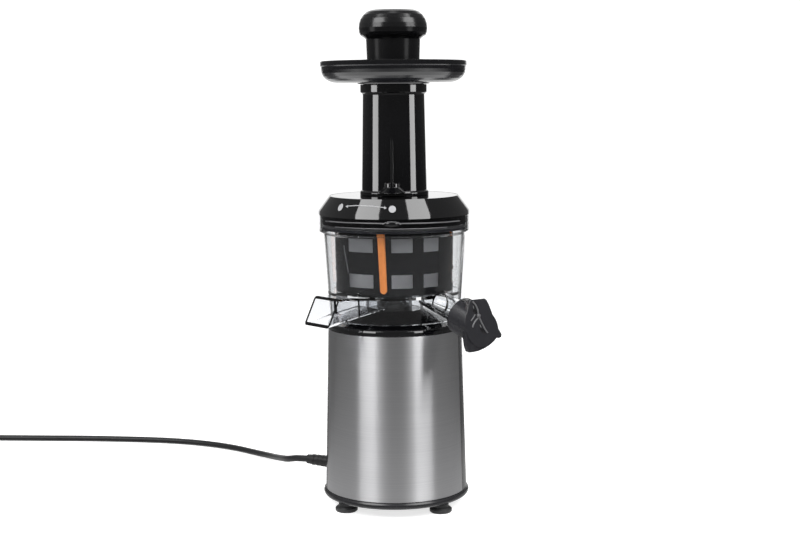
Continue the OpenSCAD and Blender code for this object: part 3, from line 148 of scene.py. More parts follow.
class Surface(Nodes):
    """A Principled material."""

    def __init__(self, name):
        self.material = bpy.data.materials.new(name)
        self.material.use_nodes = True
        super().__init__(self.material.node_tree)
        self.shader = self.tree.nodes["Principled BSDF"]
        self.coordinates = self.tree.nodes.new("ShaderNodeTexCoord").outputs["Object"]

    def set(self, **values):
        """Sets or links sockets of the shader, named with _ for a space."""
        for key, value in values.items():
            self.feed(self.shader.inputs[key.replace("_", " ")], value)

    def noise(self, scale, detail=2.0, stretch=(1, 1, 1)):
        mapped = self.node("ShaderNodeMapping", {"Vector": self.coordinates, "Scale": stretch})
        inputs = {"Vector": mapped.outputs[0], "Scale": scale, "Detail": detail}
        return self.node("ShaderNodeTexNoise", inputs).outputs["Fac"]

    def mixed(self, factor, first, second):
        made = self.node("ShaderNodeMix", {0: factor, 6: first, 7: second}, data_type="RGBA")
        return made.outputs[2]

    def bump(self, height, depth, strength=1.0, edge=0.0):
        inputs = {"Height": height, "Distance": depth, "Strength": strength}
        if edge:
            inputs["Normal"] = self.node("ShaderNodeBevel", {"Radius": edge}, samples=4).outputs[0]
        self.set(Normal=self.node("ShaderNodeBump", inputs).outputs[0])

    def matt_glow(self, colour, strength):
        """No gloss, and a white glow of a given strength."""
        self.set(Base_Color=colour, Roughness=1.0, Specular_IOR_Level=0.0)
        self.set(Emission_Color=(1, 1, 1, 1), Emission_Strength=strength)


def rgb(colour, share=1.0):
    return tuple(min(1.0, c * share) for c in colour[:3]) + (1.0,)


CLOUD_SCALE, GRAIN_SCALE, POLISHED_SCALE = 35.0, 2400.0, 500.0  # noise cells in a metre
POLISHED_WAVE = 0.004  # mm, the least relief of moulded plastic


def plastic(name, colour, roughness, grain=0.0, ior=1.5, edge=0.3, cloud=0.12):
    """Moulded plastic: a faint cloud in colour and gloss, and a fine grain where it isn't polished."""
    s = Surface(name)
    cloudy = s.noise(CLOUD_SCALE, 3.0)
    fine = s.noise(GRAIN_SCALE if grain else POLISHED_SCALE)
    uneven = s.math("ADD", s.math("MULTIPLY", cloudy, 0.6), s.math("MULTIPLY", fine, 0.4))
    s.set(
        Base_Color=s.mixed(s.spread(cloudy, 0, 1), rgb(colour, 1 - cloud), rgb(colour, 1 + cloud)),
        Roughness=s.spread(uneven, roughness * 0.88, roughness * 1.15),
        IOR=ior,
    )
    s.bump(fine, (grain or POLISHED_WAVE) * MM, edge=edge * MM)
    return s.material


def rubber(name, colour, roughness=0.6, grain=0.02):
    s = Surface(name)
    fine, broad = s.noise(1800.0, 4.0), s.noise(60.0, 3.0)
    s.set(
        Base_Color=s.mixed(s.spread(broad, 0, 1), rgb(colour, 0.85), rgb(colour, 1.2)),
        Roughness=s.spread(fine, roughness - 0.08, roughness + 0.1),
        Sheen_Weight=0.08,
        Sheen_Roughness=0.5,
        IOR=1.45,
    )
    s.bump(fine, grain * MM, edge=0.2 * MM)
    return s.material


def metal(name, colour, roughness, stretch=(1, 1, 1), scale=700.0, depth=0.006, mottle=0.08):
    s = Surface(name)
    lines, broad = s.noise(scale, 4.0, stretch), s.noise(45.0, 3.0)
    s.set(
        Base_Color=s.mixed(s.spread(broad, 0, 1), rgb(colour, 1 - mottle), rgb(colour, 1 + mottle)),
        Metallic=1.0,
        Roughness=s.spread(lines, roughness * 0.8, roughness * 1.25),
    )
    s.bump(lines, depth * MM, edge=0.15 * MM)
    return s.material


def brushed_wrap(name):
    """Stainless sheet brushed round the body: highlights stay narrow sideways and run tall."""
    s = Surface(name)
    strokes = s.noise(1.0, 3.0, (9, 9, 2600))
    broad = s.noise(14.0, 2.0)
    shade = s.math("ADD", s.math("MULTIPLY", strokes, 0.75), s.math("MULTIPLY", broad, 0.25))
    s.set(
        Base_Color=s.mixed(s.spread(shade, 0, 1), (0.60, 0.60, 0.615, 1), (0.68, 0.68, 0.69, 1)),
        Metallic=1.0,
        Roughness=s.spread(shade, 0.31, 0.37),
        Anisotropic=1.0,
        Anisotropic_Rotation=0.25,
        Tangent=s.node("ShaderNodeTangent", direction_type="RADIAL", axis="Z").outputs[0],
    )
    s.bump(strokes, 0.0025 * MM)
    return s.material


def clear(name, tint, roughness=0.015, ior=1.5, shadow=0.88):
    """Clear plastic that lets the lamps through to what stands behind it."""
    s = Surface(name)
    waves = s.noise(28.0, 1.0)
    s.set(
        Base_Color=s.mixed(s.spread(s.noise(12.0), 0, 1), rgb(tint, 0.985), rgb(tint)),
        Transmission_Weight=1.0,
        Roughness=s.spread(waves, roughness * 0.7, roughness * 1.3),
        IOR=ior,
    )
    s.bump(waves, 0.05 * MM)
    path = s.node("ShaderNodeLightPath")
    through = s.node("ShaderNodeBsdfTransparent", {"Color": rgb(tint, shadow)})
    unlit = s.math("MAXIMUM", path.outputs["Is Shadow Ray"], path.outputs["Is Diffuse Ray"])
    mix = s.node("ShaderNodeMixShader", {0: unlit, 1: s.shader.outputs[0], 2: through.outputs[0]})
    s.feed(s.tree.nodes["Material Output"].inputs["Surface"], mix.outputs[0])
    return s.material


SIEVE_HOLES_PER_RADIAN = 60.0
SIEVE_HOLES_PER_METRE = 1500.0
SIEVE_HOLE_EDGE = (0.26, 0.34)  # where a hole ends, as a share of a cell


def etched_mesh(name):
    """Sheet steel with rows of fine round holes, dark where a hole is."""
    s = Surface(name)
    place = s.node("ShaderNodeSeparateXYZ", {0: s.coordinates})
    angle = s.math("ARCTAN2", place.outputs[1], place.outputs[0])
    across = s.math("MULTIPLY", angle, SIEVE_HOLES_PER_RADIAN)
    up = s.math("MULTIPLY", place.outputs[2], SIEVE_HOLES_PER_METRE)
    cell = s.node("ShaderNodeCombineXYZ", {0: across, 1: up})
    holes = s.node(
        "ShaderNodeTexVoronoi",
        {"Vector": cell.outputs[0], "Scale": 1.0, "Randomness": 0.0},
        voronoi_dimensions="2D",
    )
    edge = s.spread(holes.outputs["Distance"], 0, 1, SIEVE_HOLE_EDGE)
    s.set(
        Base_Color=s.mixed(edge, (0.03, 0.03, 0.032, 1), (0.74, 0.74, 0.76, 1)),
        Metallic=1.0,
        Roughness=s.spread(s.noise(900.0), 0.28, 0.42),
    )
    s.bump(edge, 0.12 * MM)
    return s.material


def circuit_board(name):
    s = Surface(name)
    tracks = s.node("ShaderNodeTexBrick", {"Vector": s.coordinates, "Scale": 160.0, "Mortar Size": 0.03})
    s.set(
        Base_Color=s.mixed(tracks.outputs["Fac"], (0.03, 0.16, 0.08, 1), (0.08, 0.3, 0.15, 1)),
        Roughness=s.spread(s.noise(300.0), 0.3, 0.45),
    )
    s.bump(tracks.outputs["Fac"], 0.03 * MM)
    return s.material


# One finish for each material slot of the record.
FINISHES = {
    "base_black": lambda n: plastic(n, (0.018, 0.018, 0.020), 0.22, grain=0.006, edge=0.5),
    "steel_wrap": brushed_wrap,
    "piano_black": lambda n: plastic(n, (0.0025, 0.0025, 0.003), 0.05, ior=1.6, edge=0.5),
    "tray_black": lambda n: plastic(n, (0.004, 0.004, 0.005), 0.2, edge=0.5),
    "foot_rubber": lambda n: rubber(n, (0.018, 0.018, 0.019), 0.55),
    "screw_steel": lambda n: metal(n, (0.70, 0.70, 0.72), 0.22),
    "bearing_steel": lambda n: metal(n, (0.72, 0.72, 0.74), 0.12),
    "stack_steel": lambda n: metal(n, (0.40, 0.41, 0.43), 0.42, (1, 1, 12), 180.0, 0.05),
    "shaft_steel": lambda n: metal(n, (0.55, 0.55, 0.57), 0.2, (1, 1, 10), 220.0, 0.01),
    "copper": lambda n: metal(n, (0.62, 0.26, 0.12), 0.28, (1, 1, 9), 150.0, 0.25),
    "cast_case": lambda n: metal(n, (0.62, 0.63, 0.65), 0.48, scale=420.0, depth=0.05, mottle=0.12),
    "gear_plastic": lambda n: plastic(n, (0.78, 0.75, 0.66), 0.38, grain=0.01, cloud=0.05),
    "board_green": circuit_board,
    "switch_black": lambda n: plastic(n, (0.02, 0.02, 0.022), 0.28, grain=0.01),
    "cord_black": lambda n: rubber(n, (0.012, 0.012, 0.013), 0.42, 0.01),
    "plug_black": lambda n: plastic(n, (0.014, 0.014, 0.015), 0.42, grain=0.02),
    "pin_metal": lambda n: metal(n, (0.75, 0.66, 0.48), 0.2, (1, 1, 6), 300.0, 0.006),
    "bowl_clear": lambda n: clear(n, (0.93, 0.94, 0.95)),
    "chute_clear": lambda n: clear(n, (0.86, 0.87, 0.89)),
    "seal_grey": lambda n: rubber(n, (0.035, 0.035, 0.036), 0.4),
    "seal_dark": lambda n: rubber(n, (0.03, 0.03, 0.03), 0.5),
    "sleeve_dark": lambda n: plastic(n, (0.022, 0.022, 0.025), 0.16, ior=1.52, edge=0.4),
    "frame_dark": lambda n: plastic(n, (0.022, 0.022, 0.026), 0.2),
    "wiper_orange": lambda n: rubber(n, (0.9, 0.27, 0.06), 0.42, 0.01),
    "mesh_steel": etched_mesh,
    "auger_dark": lambda n: plastic(n, (0.03, 0.03, 0.034), 0.3, grain=0.008),
}

finishes = {name: make(name) for name, make in FINISHES.items()}

# Looks of single pieces, which stand for their slot's finish.
pusher_satin = plastic("pusher_satin", (0.004, 0.004, 0.0045), 0.19, edge=0.5)
# Black for the brush's bars, and also painted shade where it fills the drum's windows and the cap's dark
# patches.
black_and_painted_shade = plastic("black_and_painted_shade", (0.008, 0.008, 0.009), 0.22)
# A grey for the drum's upper band: partly its own colour, partly painted highlight where the lamps'
# reflections would fall.
upper_band_and_highlight = plastic("upper_band_and_highlight", (0.21, 0.21, 0.215), 0.3, edge=0.2)
pale_print = plastic("pale_print", (0.36, 0.36, 0.37), 0.35, edge=0.05)
# Pale grey for the collar's rings, and painted highlight along the tab's top, a drum window's edge, the
# cap's crease, its lever and its pivot.
pale_line_and_highlight = plastic("pale_line_and_highlight", (0.12, 0.12, 0.125), 0.3, edge=0.1)


def finish_nodes():
    slots = {part["node"]: part["material_slot"] for part in frame["record"]["subparts"]}
    for name, node in frame["nodes"].items():
        look = pusher_satin if name == "pusher" else finishes[slots[name]]
        for holder in node.material_slots:
            holder.material = look


finish_nodes()

# ---------------------------------------------------------------- pieces


def finish_piece(piece, slot, look=None):
    """Gives a piece the finish of a slot, or a look of its own that stands for it."""
    piece.data.materials.clear()
    piece.data.materials.append(look or finishes[slot])


def new_piece(name, build, body, slot, look=None, smooth=True):
    """A mesh object whose shape build(bm) makes, in the object's frame, riding on a body."""
    bm = bmesh.new()
    build(bm)
    bmesh.ops.recalc_face_normals(bm, faces=bm.faces)
    data = bpy.data.meshes.new(name)
    bm.to_mesh(data)
    bm.free()
    data.polygons.foreach_set("use_smooth", [smooth] * len(data.polygons))
    piece = add_object(name, data)
    finish_piece(piece, slot, look)
    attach(piece, body)
    return piece


def shown(name):
    return frame["nodes"].get(name) or bpy.data.objects[name]


def join_rings(bm, rings):
    """Faces between one closed ring of corners and the next."""
    for first, second in zip(rings, rings[1:]):
        count = len(first)
        for k in range(count):
            m = (k + 1) % count
            bm.faces.new((first[k], first[m], second[m], second[k]))


def close_ends(bm, rings):
    bm.faces.new(rings[0][::-1])
    bm.faces.new(rings[-1])


def add_sweep(bm, section, start, end, step=2.0):
    """Turns a section of (radius, z) points about the axis, from one angle to another, with closed ends.

    Sizes are in millimetres, and angles in degrees from the camera's side.
    """
    steps = max(1, round((end - start) / step))
    whole = end - start >= 360
    rings = []
    for i in range(steps if whole else steps + 1):
        a = math.radians(CAMERA_SIDE + start + (end - start) * i / steps)
        ring = [bm.verts.new((r * math.cos(a) * MM, r * math.sin(a) * MM, z * MM)) for r, z in section]
        rings.append(ring)
    if whole:
        join_rings(bm, rings + rings[:1])
    else:
        join_rings(bm, rings)
        close_ends(bm, rings)


# ---------------------------------------------------------------- brush, as the clear bowl shows it

DRUM_LOW, DRUM_TOP = 200.2, 251.4
DRUM_END = 252.0  # its bars reach a little higher, into the rim
DRUM_FOOT_R = 53.9
DRUM_FLARE = 1.0  # how much wider it is at its top
RIM_LOW, RIM_R = 249.0, 54.03  # the CAD frame's rim, which the drum's wall stays outside
FOOT_RING_TOP = 206.5
MIDDLE_RING = (218.9, 221.0)
# The dark wall in the windows is painted shade; the grey one above it is partly the drum's own grey band
# and partly painted highlight.
WALL_STEP = 238.45  # between the dark wall in the windows and the grey one above it
GAP = 0.1  # between rings, walls and bars
BAR_WALL, PANEL_WALL = 0.55, 0.12
RING_DEPTH, PANEL_DEPTH = 0.1, 0.6  # how far these lie behind the bars' faces
WINDOWS_IN_THIRD = [(-2.8, 17.4), (28.0, 46.0), (72.0, 100.0)]  # degrees from the camera's side

WIPER_ANGLE = -11.9
WIPER_LEAN = 2.0  # how far its foot stands to the right of its top, in degrees
WIPER_LOW, WIPER_HIGH = 202.2, 256.0
WIPER_ROUNDING = 3.0  # of its lower end
WIPER_STRAIGHT = 230.0  # a height between the rounding and the top
WIPER_ROOT_R = 54.0
WIPER_LIP_R, WIPER_LIP_FLARE = 56.6, 1.2
WIPER_HALF, WIPER_HALF_FLARE = 3.0, 0.2
WIPER_CHAMFER, WIPER_LIP_SHARE = 0.8, 0.75
WIPER_TIP = 0.02  # the square of its lower tip's share of the width


def drum_radius(z, depth=0.0):
    return DRUM_FOOT_R + DRUM_FLARE * (z - DRUM_LOW) / (DRUM_TOP - DRUM_LOW) - depth


def drum_section(low, high, depth, wall=BAR_WALL):
    outer = [(drum_radius(z, depth), z) for z in (low, high)]
    inner = [(max(r - wall, RIM_R if z > RIM_LOW else 0), z) for r, z in outer]
    return outer + inner[::-1]


def drum_windows():
    return [(120 * third + a, 120 * third + b) for third in range(3) for a, b in WINDOWS_IN_THIRD]


def build_bars(bm):
    windows = drum_windows()
    ends = [start for start, _ in windows[1:]] + [windows[0][0] + 360]
    for (_, start), end in zip(windows, ends):
        add_sweep(bm, drum_section(FOOT_RING_TOP + GAP, DRUM_END, 0.0), start, end)
    for low, high in ((DRUM_LOW, FOOT_RING_TOP), MIDDLE_RING):
        add_sweep(bm, drum_section(low, high, RING_DEPTH), 0, 360, 3.0)


def build_panels(low, high):
    """Thin walls in the windows, a little behind the bars."""
    def build(bm):
        for start, end in drum_windows():
            add_sweep(bm, drum_section(low, high, PANEL_DEPTH, PANEL_WALL), start, end)
    return build


def wiper_section(z):
    """A blade's section at a height: (outwards, sideways) points round a blunt lip."""
    share = (z - WIPER_LOW) / (WIPER_HIGH - WIPER_LOW)
    drop = max(0.0, WIPER_LOW + WIPER_ROUNDING - z) / WIPER_ROUNDING
    half = (WIPER_HALF + WIPER_HALF_FLARE * share) * math.sqrt(max(WIPER_TIP, 1 - drop * drop))
    lip = WIPER_LIP_R + WIPER_LIP_FLARE * share
    side = [(WIPER_ROOT_R, half), (lip - WIPER_CHAMFER, half), (lip, half * WIPER_LIP_SHARE)]
    return [(r, -w) for r, w in side] + side[::-1]


def build_wipers(bm):
    """Three blades, rounded at their lower ends."""
    heights = [WIPER_LOW + WIPER_ROUNDING * (1 - math.cos(math.radians(t))) for t in (0, 30, 50, 70, 90)]
    heights += [WIPER_STRAIGHT, WIPER_HIGH]
    for third in range(3):
        rings = []
        for z in heights:
            lean = WIPER_LEAN * (WIPER_HIGH - z) / (WIPER_HIGH - WIPER_LOW)
            a = math.radians(CAMERA_SIDE + WIPER_ANGLE + lean + 120 * third)
            out, side = Vector((math.cos(a), math.sin(a), 0)), Vector((-math.sin(a), math.cos(a), 0))
            ring = [(out * r + side * w) * MM + UP * (z * MM) for r, w in wiper_section(z)]
            rings.append([bm.verts.new(corner) for corner in ring])
        join_rings(bm, rings)
        close_ends(bm, rings)


def make_brush():
    # The dark walls in the windows are painted shade of the bowl's inside; the grey walls above them are
    # partly the drum's grey band and partly painted highlight.
    painted_shade_wall = build_panels(MIDDLE_RING[1] + GAP, WALL_STEP - GAP / 2)
    band_and_highlight_wall = build_panels(WALL_STEP + GAP / 2, DRUM_END - GAP)
    sieve_wall = build_panels(FOOT_RING_TOP + GAP, MIDDLE_RING[0] - GAP)
    new_piece("brush_bars", build_bars, "brush", "frame_dark", black_and_painted_shade, smooth=False)
    new_piece("brush_painted_shade_wall", painted_shade_wall, "brush", "frame_dark", black_and_painted_shade, smooth=False)
    new_piece("brush_band_and_highlight_wall", band_and_highlight_wall, "brush", "frame_dark", upper_band_and_highlight, smooth=False)
    new_piece("brush_sieve_wall", sieve_wall, "brush", "mesh_steel", smooth=False)
    wipers = new_piece("wiper_blades", build_wipers, "brush", "wiper_orange", smooth=False)
    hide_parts("silicone_wipers")


make_brush()

# ---------------------------------------------------------------- lid skirt

# (radius, z) points of the lid's outer cone, drawn down over the bowl's collar
SKIRT_OUTER = [(58.9, 286.1), (59.7, 285.45), (64.3, 279.3), (68.85, 273.1), (69.1, 272.4), (69.15, 269.3)]
SKIRT_INNER = [(68.88, 269.3), (68.86, 272.0), (68.4, 272.9), (63.9, 279.0), (59.3, 285.2), (58.5, 285.8)]
CONE_OUT, CONE_UP = 0.80, 0.60  # the direction that the cone looks in


def make_skirt():
    """The lid's skirt, shaded as the cone, so the lamps' reflections run down to its lower edge."""
    skirt = new_piece(
        "lid_skirt", lambda bm: add_sweep(bm, SKIRT_OUTER + SKIRT_INNER, 0, 360, 1.5), "lid", "piano_black"
    )
    normals = []
    for v in skirt.data.vertices:
        out = Vector((v.co.x, v.co.y, 0)).normalized()
        normals.append((out * CONE_OUT + UP * CONE_UP).normalized())
    skirt.data.normals_split_custom_set_from_vertices(normals)


make_skirt()

# ---------------------------------------------------------------- small marks, lines, painted highlights and painted shade laid on the shells

MARK_SINK = 0.1  # mm, how deep a mark's foot lies in the shell
LINE_STEPS = 4  # between two points of a line


def surface_tree(*names):
    corners, faces = [], []
    for name in names:
        node = shown(name)
        first = len(corners)
        corners += [node.matrix_world @ v.co for v in node.data.vertices]
        faces += [[first + k for k in p.vertices] for p in node.data.polygons]
    return BVHTree.FromPolygons(corners, faces)


def on_surface(tree, u, v):
    place, direction = pixel_ray(u, v)
    hit, normal, _, _ = tree.ray_cast(place, direction)
    if hit is None:
        raise ValueError(f"no surface at pixel {u}, {v}")
    return hit, normal if normal.dot(direction) < 0 else -normal


def laid_line(tree, points, width, lift):
    """A thin rib along points of the frame; width in pixels, lift in millimetres."""
    def build(bm):
        route = [Vector(p) for p in points]
        dense = [a.lerp(b, t / LINE_STEPS) for a, b in zip(route, route[1:]) for t in range(LINE_STEPS)]
        dense.append(route[-1])
        rings = []
        for i, point in enumerate(dense):
            along = (dense[min(i + 1, len(dense) - 1)] - dense[max(i - 1, 0)]).normalized()
            aside = Vector((-along.y, along.x)) * width / 2
            ring = []
            for edge in (point - aside, point + aside):
                hit, normal = on_surface(tree, *edge)
                ring += [hit - normal * MARK_SINK * MM, hit + normal * lift * MM]
            rings.append([bm.verts.new(ring[k]) for k in (0, 1, 3, 2)])
        join_rings(bm, rings)
        close_ends(bm, rings)
    return build


def laid_patch(tree, outline, lift=0.2):
    """A thin raised patch whose outline is given in pixels."""
    def build(bm):
        centre = sum((Vector(p) for p in outline), Vector((0, 0))) / len(outline)
        hits = [on_surface(tree, *p) for p in outline]
        low = [bm.verts.new(hit - normal * MARK_SINK * MM) for hit, normal in hits]
        high = [bm.verts.new(hit + normal * lift * MM) for hit, normal in hits]
        hit, normal = on_surface(tree, *centre)
        top = bm.verts.new(hit + normal * lift * MM)
        join_rings(bm, [low, high])
        count = len(outline)
        for k in range(count):
            bm.faces.new((high[k], high[(k + 1) % count], top))
        bm.faces.new(low[::-1])
    return build


def oval(centre, half_width, half_height, lean=0.0, count=16):
    points = []
    for k in range(count):
        across, down = math.cos(2 * math.pi * k / count), math.sin(2 * math.pi * k / count)
        points.append((centre[0] + half_width * across - lean * down, centre[1] + half_height * down))
    return points


# Places in pixels of the frame. A dot has its centre, half its width and height, and its lean.
LID_DOT_LEFT = ((340.6, 207.4), 2.2, 3.6, 1.4)
LID_DOT_RIGHT = ((392.3, 209.3), 3.7, 3.5)
LID_LINE = [(346.5, 206.2), (357, 205.6), (372, 206.2), (386, 207.9)]
LID_TIP_LEFT = [(345.6, 206.7), (348.0, 205.2), (348.0, 208.0)]
LID_TIP_RIGHT = [(386.6, 208.1), (384.2, 206.4), (384.2, 209.4)]
COLLAR_LINE_UPPER = [(325.5, 221.2), (345, 222.6), (370, 223.4), (395, 223.7), (425, 223.2), (445, 222.2),
                     (460, 220.8)]
COLLAR_LINE_LOWER = [(335, 227.0), (360, 228.5), (395, 229.2), (425, 228.6), (447, 227.2)]
COLLAR_TAB_TOP = [(382.5, 224.6), (385, 223.0), (388.5, 222.1), (392, 221.9), (395.5, 222.2), (399, 223.2),
                  (401, 224.8)]
COLLAR_TAB_FOOT = [(397, 226.3), (391.5, 226.9), (386, 226.2)]
# The drum's edge line is painted highlight.
DRUM_EDGE_HIGHLIGHT = [(344.6, 245), (346.8, 259), (349.4, 273)]


def make_lid_marks():
    tree = surface_tree("lid", "lid_skirt")
    for name, build in (
        ("lid_mark_left", laid_patch(tree, oval(*LID_DOT_LEFT))),
        ("lid_mark_right", laid_patch(tree, oval(*LID_DOT_RIGHT))),
        ("lid_mark_line", laid_line(tree, LID_LINE, width=0.8, lift=0.15)),
        ("lid_mark_tip_left", laid_patch(tree, LID_TIP_LEFT)),
        ("lid_mark_tip_right", laid_patch(tree, LID_TIP_RIGHT)),
    ):
        new_piece(name, build, "lid", "piano_black", pale_print, smooth=False)


def make_collar_details():
    """Two rings and a tab on the collar of the clear bowl, with a pale line along the tab's top as painted
    highlight.
    """
    tree = surface_tree("juice_bowl")
    upper = laid_line(tree, COLLAR_LINE_UPPER, width=1.2, lift=0.12)
    lower = laid_line(tree, COLLAR_LINE_LOWER, width=0.8, lift=0.12)
    tab = laid_patch(tree, COLLAR_TAB_TOP + COLLAR_TAB_FOOT, lift=0.3)
    tab_highlight = laid_line(tree, COLLAR_TAB_TOP, width=0.9, lift=0.45)
    for name, build, slot, look in (
        ("collar_line_upper", upper, "seal_grey", pale_line_and_highlight),
        ("collar_line_lower", lower, "seal_grey", pale_line_and_highlight),
        ("collar_tab", tab, "piano_black", None),
        ("collar_tab_highlight", tab_highlight, "seal_grey", pale_line_and_highlight),
    ):
        new_piece(name, build, "bowl", slot, look)


# A pale line down the left edge of a drum window, as painted highlight.
def make_drum_edge_highlight():
    tree = surface_tree("brush_bars", "brush_painted_shade_wall", "brush_band_and_highlight_wall", "brush_sieve_wall")
    edge_highlight = laid_line(tree, DRUM_EDGE_HIGHLIGHT, width=0.9, lift=0.2)
    new_piece("brush_edge_highlight", edge_highlight, "brush", "frame_dark", pale_line_and_highlight)


make_lid_marks()
make_collar_details()
make_drum_edge_highlight()

# ---------------------------------------------------------------- spout cap

# The photograph shows no hinge, so copies of the sleeve and the flap without their hinge stand for them.
SPOUT_ROOT = Vector((33.44, -30.11, 197.0))
SPOUT_AXIS = Vector((0.7068, -0.6364, -0.3090))
SLEEVE_R, FLAP_R = 17.3, 17.5
SLEEVE_BACK = 41.0  # where the sleeve begins, along the spout's axis
TOP_DROP = 1.7  # how much lower they are at their tops

# The cap's face is a plane; its outline and the lines on it are in pixels of the frame.
CAP_PLACE = Vector((80.7, -67.8, 179.0))
CAP_FACE = Vector((0.732, -0.659, 0.174))  # the direction that it looks in
HOOD_OUTLINE = [
    (469.8, 301.0), (471.0, 299.8), (477, 299.2), (484.4, 298.4), (486.4, 299.8), (488.7, 304),
    (491.2, 310.5), (492.6, 314.5), (495.4, 318.6), (497.4, 323.4), (498.4, 328.5), (499.9, 331.2),
    (501.6, 334.2), (501.2, 337.0), (499.2, 338.0), (496.6, 337.8), (494, 341.2), (489.5, 345.2),
    (484, 348.6), (478, 351.2), (472, 352.4), (469.0, 351.0), (467.4, 346.0), (466.4, 338),
    (466.0, 328), (467.0, 314),
]
HOOD_CENTRE = (479.5, 326.0)
HOOD_PROFILE = [(1.0, -3.6), (1.0, 0.05), (0.985, 0.3), (0.95, 0.45), (0.9, 0.5)]  # outline's share, mm out
HOOD_SUNK, HOOD_SUNK_FROM, HOOD_SUNK_OVER = 0.8, 473.0, 5.0  # mm, and pixels
# Dark patches on the cap's face, left of its crease, are painted shade.
CAP_SHADE_UPPER = [(472.4, 303.6), (473.8, 304.8), (476.2, 308.8), (477.0, 313.0), (475.0, 313.6),
                (473.0, 311.6)]
CAP_SHADE_LOWER = [(479.0, 322.6), (481.4, 324.8), (484.0, 330.0), (486.2, 333.4), (483.6, 333.6),
                (480.4, 330.0)]
# The pale line along the cap's crease is painted highlight, as are the pale lines of the lever and the pale
# pivot.
CAP_CREASE_HIGHLIGHT = [(472.6, 301.6), (475.6, 305), (477.6, 309.4), (478.4, 315.6), (481.4, 322.3), (484.8, 329),
            (487.6, 333.0)]
LEVER_UPPER = [(475.2, 314.4), (473.2, 317.8), (471, 321)]
LEVER_LOWER = [(478.0, 318.0), (475, 321.4), (473.2, 325), (472.6, 327.4)]
LEVER_PIVOT = ((478.4, 315.7), 1.7, 1.9)


def within(limit, start=0.0):
    """Draws points in to a cylinder round the spout's axis, lower at its top, and forward to its start."""
    def move(point):
        along = (point - SPOUT_ROOT).dot(SPOUT_AXIS)
        centre = SPOUT_ROOT + SPOUT_AXIS * along
        out = point - centre
        allowed = limit - TOP_DROP * max(0.0, out.z / max(out.length, 1e-6))
        if out.length > allowed:
            out *= allowed / out.length
        return centre + out + SPOUT_AXIS * max(0.0, start - along)
    return move


def reshaped(name, source, body, slot, move):
    """A copy of a CAD node whose points move(point) shifts, in millimetres; it stands for the node."""
    node = frame["nodes"][source]
    data = node.data.copy()
    data.name = name
    for v in data.vertices:
        v.co = move(node.matrix_world @ v.co / MM) * MM
    data.update()
    piece = add_object(name, data)
    finish_piece(piece, slot)
    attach(piece, body)
    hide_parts(source)
    return piece


def on_face(u, v, out):
    """The place that a pixel shows on the plane of the cap's face, moved outwards by out millimetres."""
    place, direction = pixel_ray(u, v)
    ahead = (CAP_PLACE * MM - place).dot(CAP_FACE) / direction.dot(CAP_FACE)
    return place + direction * ahead + CAP_FACE * out * MM


def sunk(u):
    """How deep the hood's left side lies in the flap."""
    return HOOD_SUNK * min(1.0, max(0.0, (HOOD_SUNK_FROM - u) / HOOD_SUNK_OVER))


def build_hood(bm):
    """The cap: a cover with rolled edges."""
    centre = Vector(HOOD_CENTRE)
    rings = []
    for share, out in HOOD_PROFILE:
        ring = [on_face(*centre.lerp(Vector(p), share), out - sunk(p[0])) for p in HOOD_OUTLINE]
        rings.append([bm.verts.new(corner) for corner in ring])
    join_rings(bm, rings)
    count = len(HOOD_OUTLINE)
    for ring, (_, out) in ((rings[0], HOOD_PROFILE[0]), (rings[-1], HOOD_PROFILE[-1])):
        middle = bm.verts.new(on_face(*centre, out))
        for k in range(count):
            bm.faces.new((ring[k], ring[(k + 1) % count], middle))


def make_cap():
    reshaped("sleeve_shell", "spout_sleeve", "bowl", "sleeve_dark", within(SLEEVE_R, SLEEVE_BACK))
    flap = reshaped("flap_shell", "spout_flap", "flap", "sleeve_dark", within(FLAP_R))
    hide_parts("flap_pin")
    new_piece("cap_hood", build_hood, "flap", "sleeve_dark", smooth=False)
    tree = surface_tree("cap_hood", "flap_shell")
    # The dark patches here are painted shade, and the pale lines and pivot are painted highlight.
    for name, build, look in (
        ("cap_painted_shade_upper", laid_patch(tree, CAP_SHADE_UPPER, lift=0.12), black_and_painted_shade),
        ("cap_painted_shade_lower", laid_patch(tree, CAP_SHADE_LOWER, lift=0.12), black_and_painted_shade),
        ("cap_crease_highlight", laid_line(tree, CAP_CREASE_HIGHLIGHT, width=1.3, lift=0.35), pale_line_and_highlight),
        ("cap_lever_upper", laid_line(tree, LEVER_UPPER, width=1.0, lift=0.3), pale_line_and_highlight),
        ("cap_lever_lower", laid_line(tree, LEVER_LOWER, width=1.4, lift=0.3), pale_line_and_highlight),
        ("cap_pivot", laid_patch(tree, oval(*LEVER_PIVOT, count=12), lift=0.9), pale_line_and_highlight),
    ):
        new_piece(name, build, "flap", "sleeve_dark", look)


make_cap()

# ---------------------------------------------------------------- cord

CORD_D = 6.4
CORD_EXIT = (-88.06, 41.06, 28.0)
CORD_REST_Z = CORD_D / 2 + 0.1
CORD_OFFSETS = [(-12, 6, -1), (-21, 15, -4), (-28, 30, -7.5), (-34, 48, -11.5), (-41, 68, -16),
                (-49, 88, -20), (-60, 107, -23)]
CORD_FLOOR = [(-164, 166), (-182, 180), (-206, 194), (-236, 206), (-272, 214), (-312, 218), (-354, 220),
              (-400, 220), (-450, 220)]
CORD_SHARE = 0.98  # of its width, so that the coil's turns stay apart
COIL_CENTRE = (-512, 263)
COIL_OUT_R = 43.0
COIL_PITCH, COIL_LAYER = CORD_D + 1.6, CORD_D + 1.2
COIL_TURNS = 2  # in each of its two layers
COIL_STEPS = 24  # in one turn
COIL_START = -90  # degrees


def coil_angle(t):
    return math.radians(COIL_START - 360 * t)


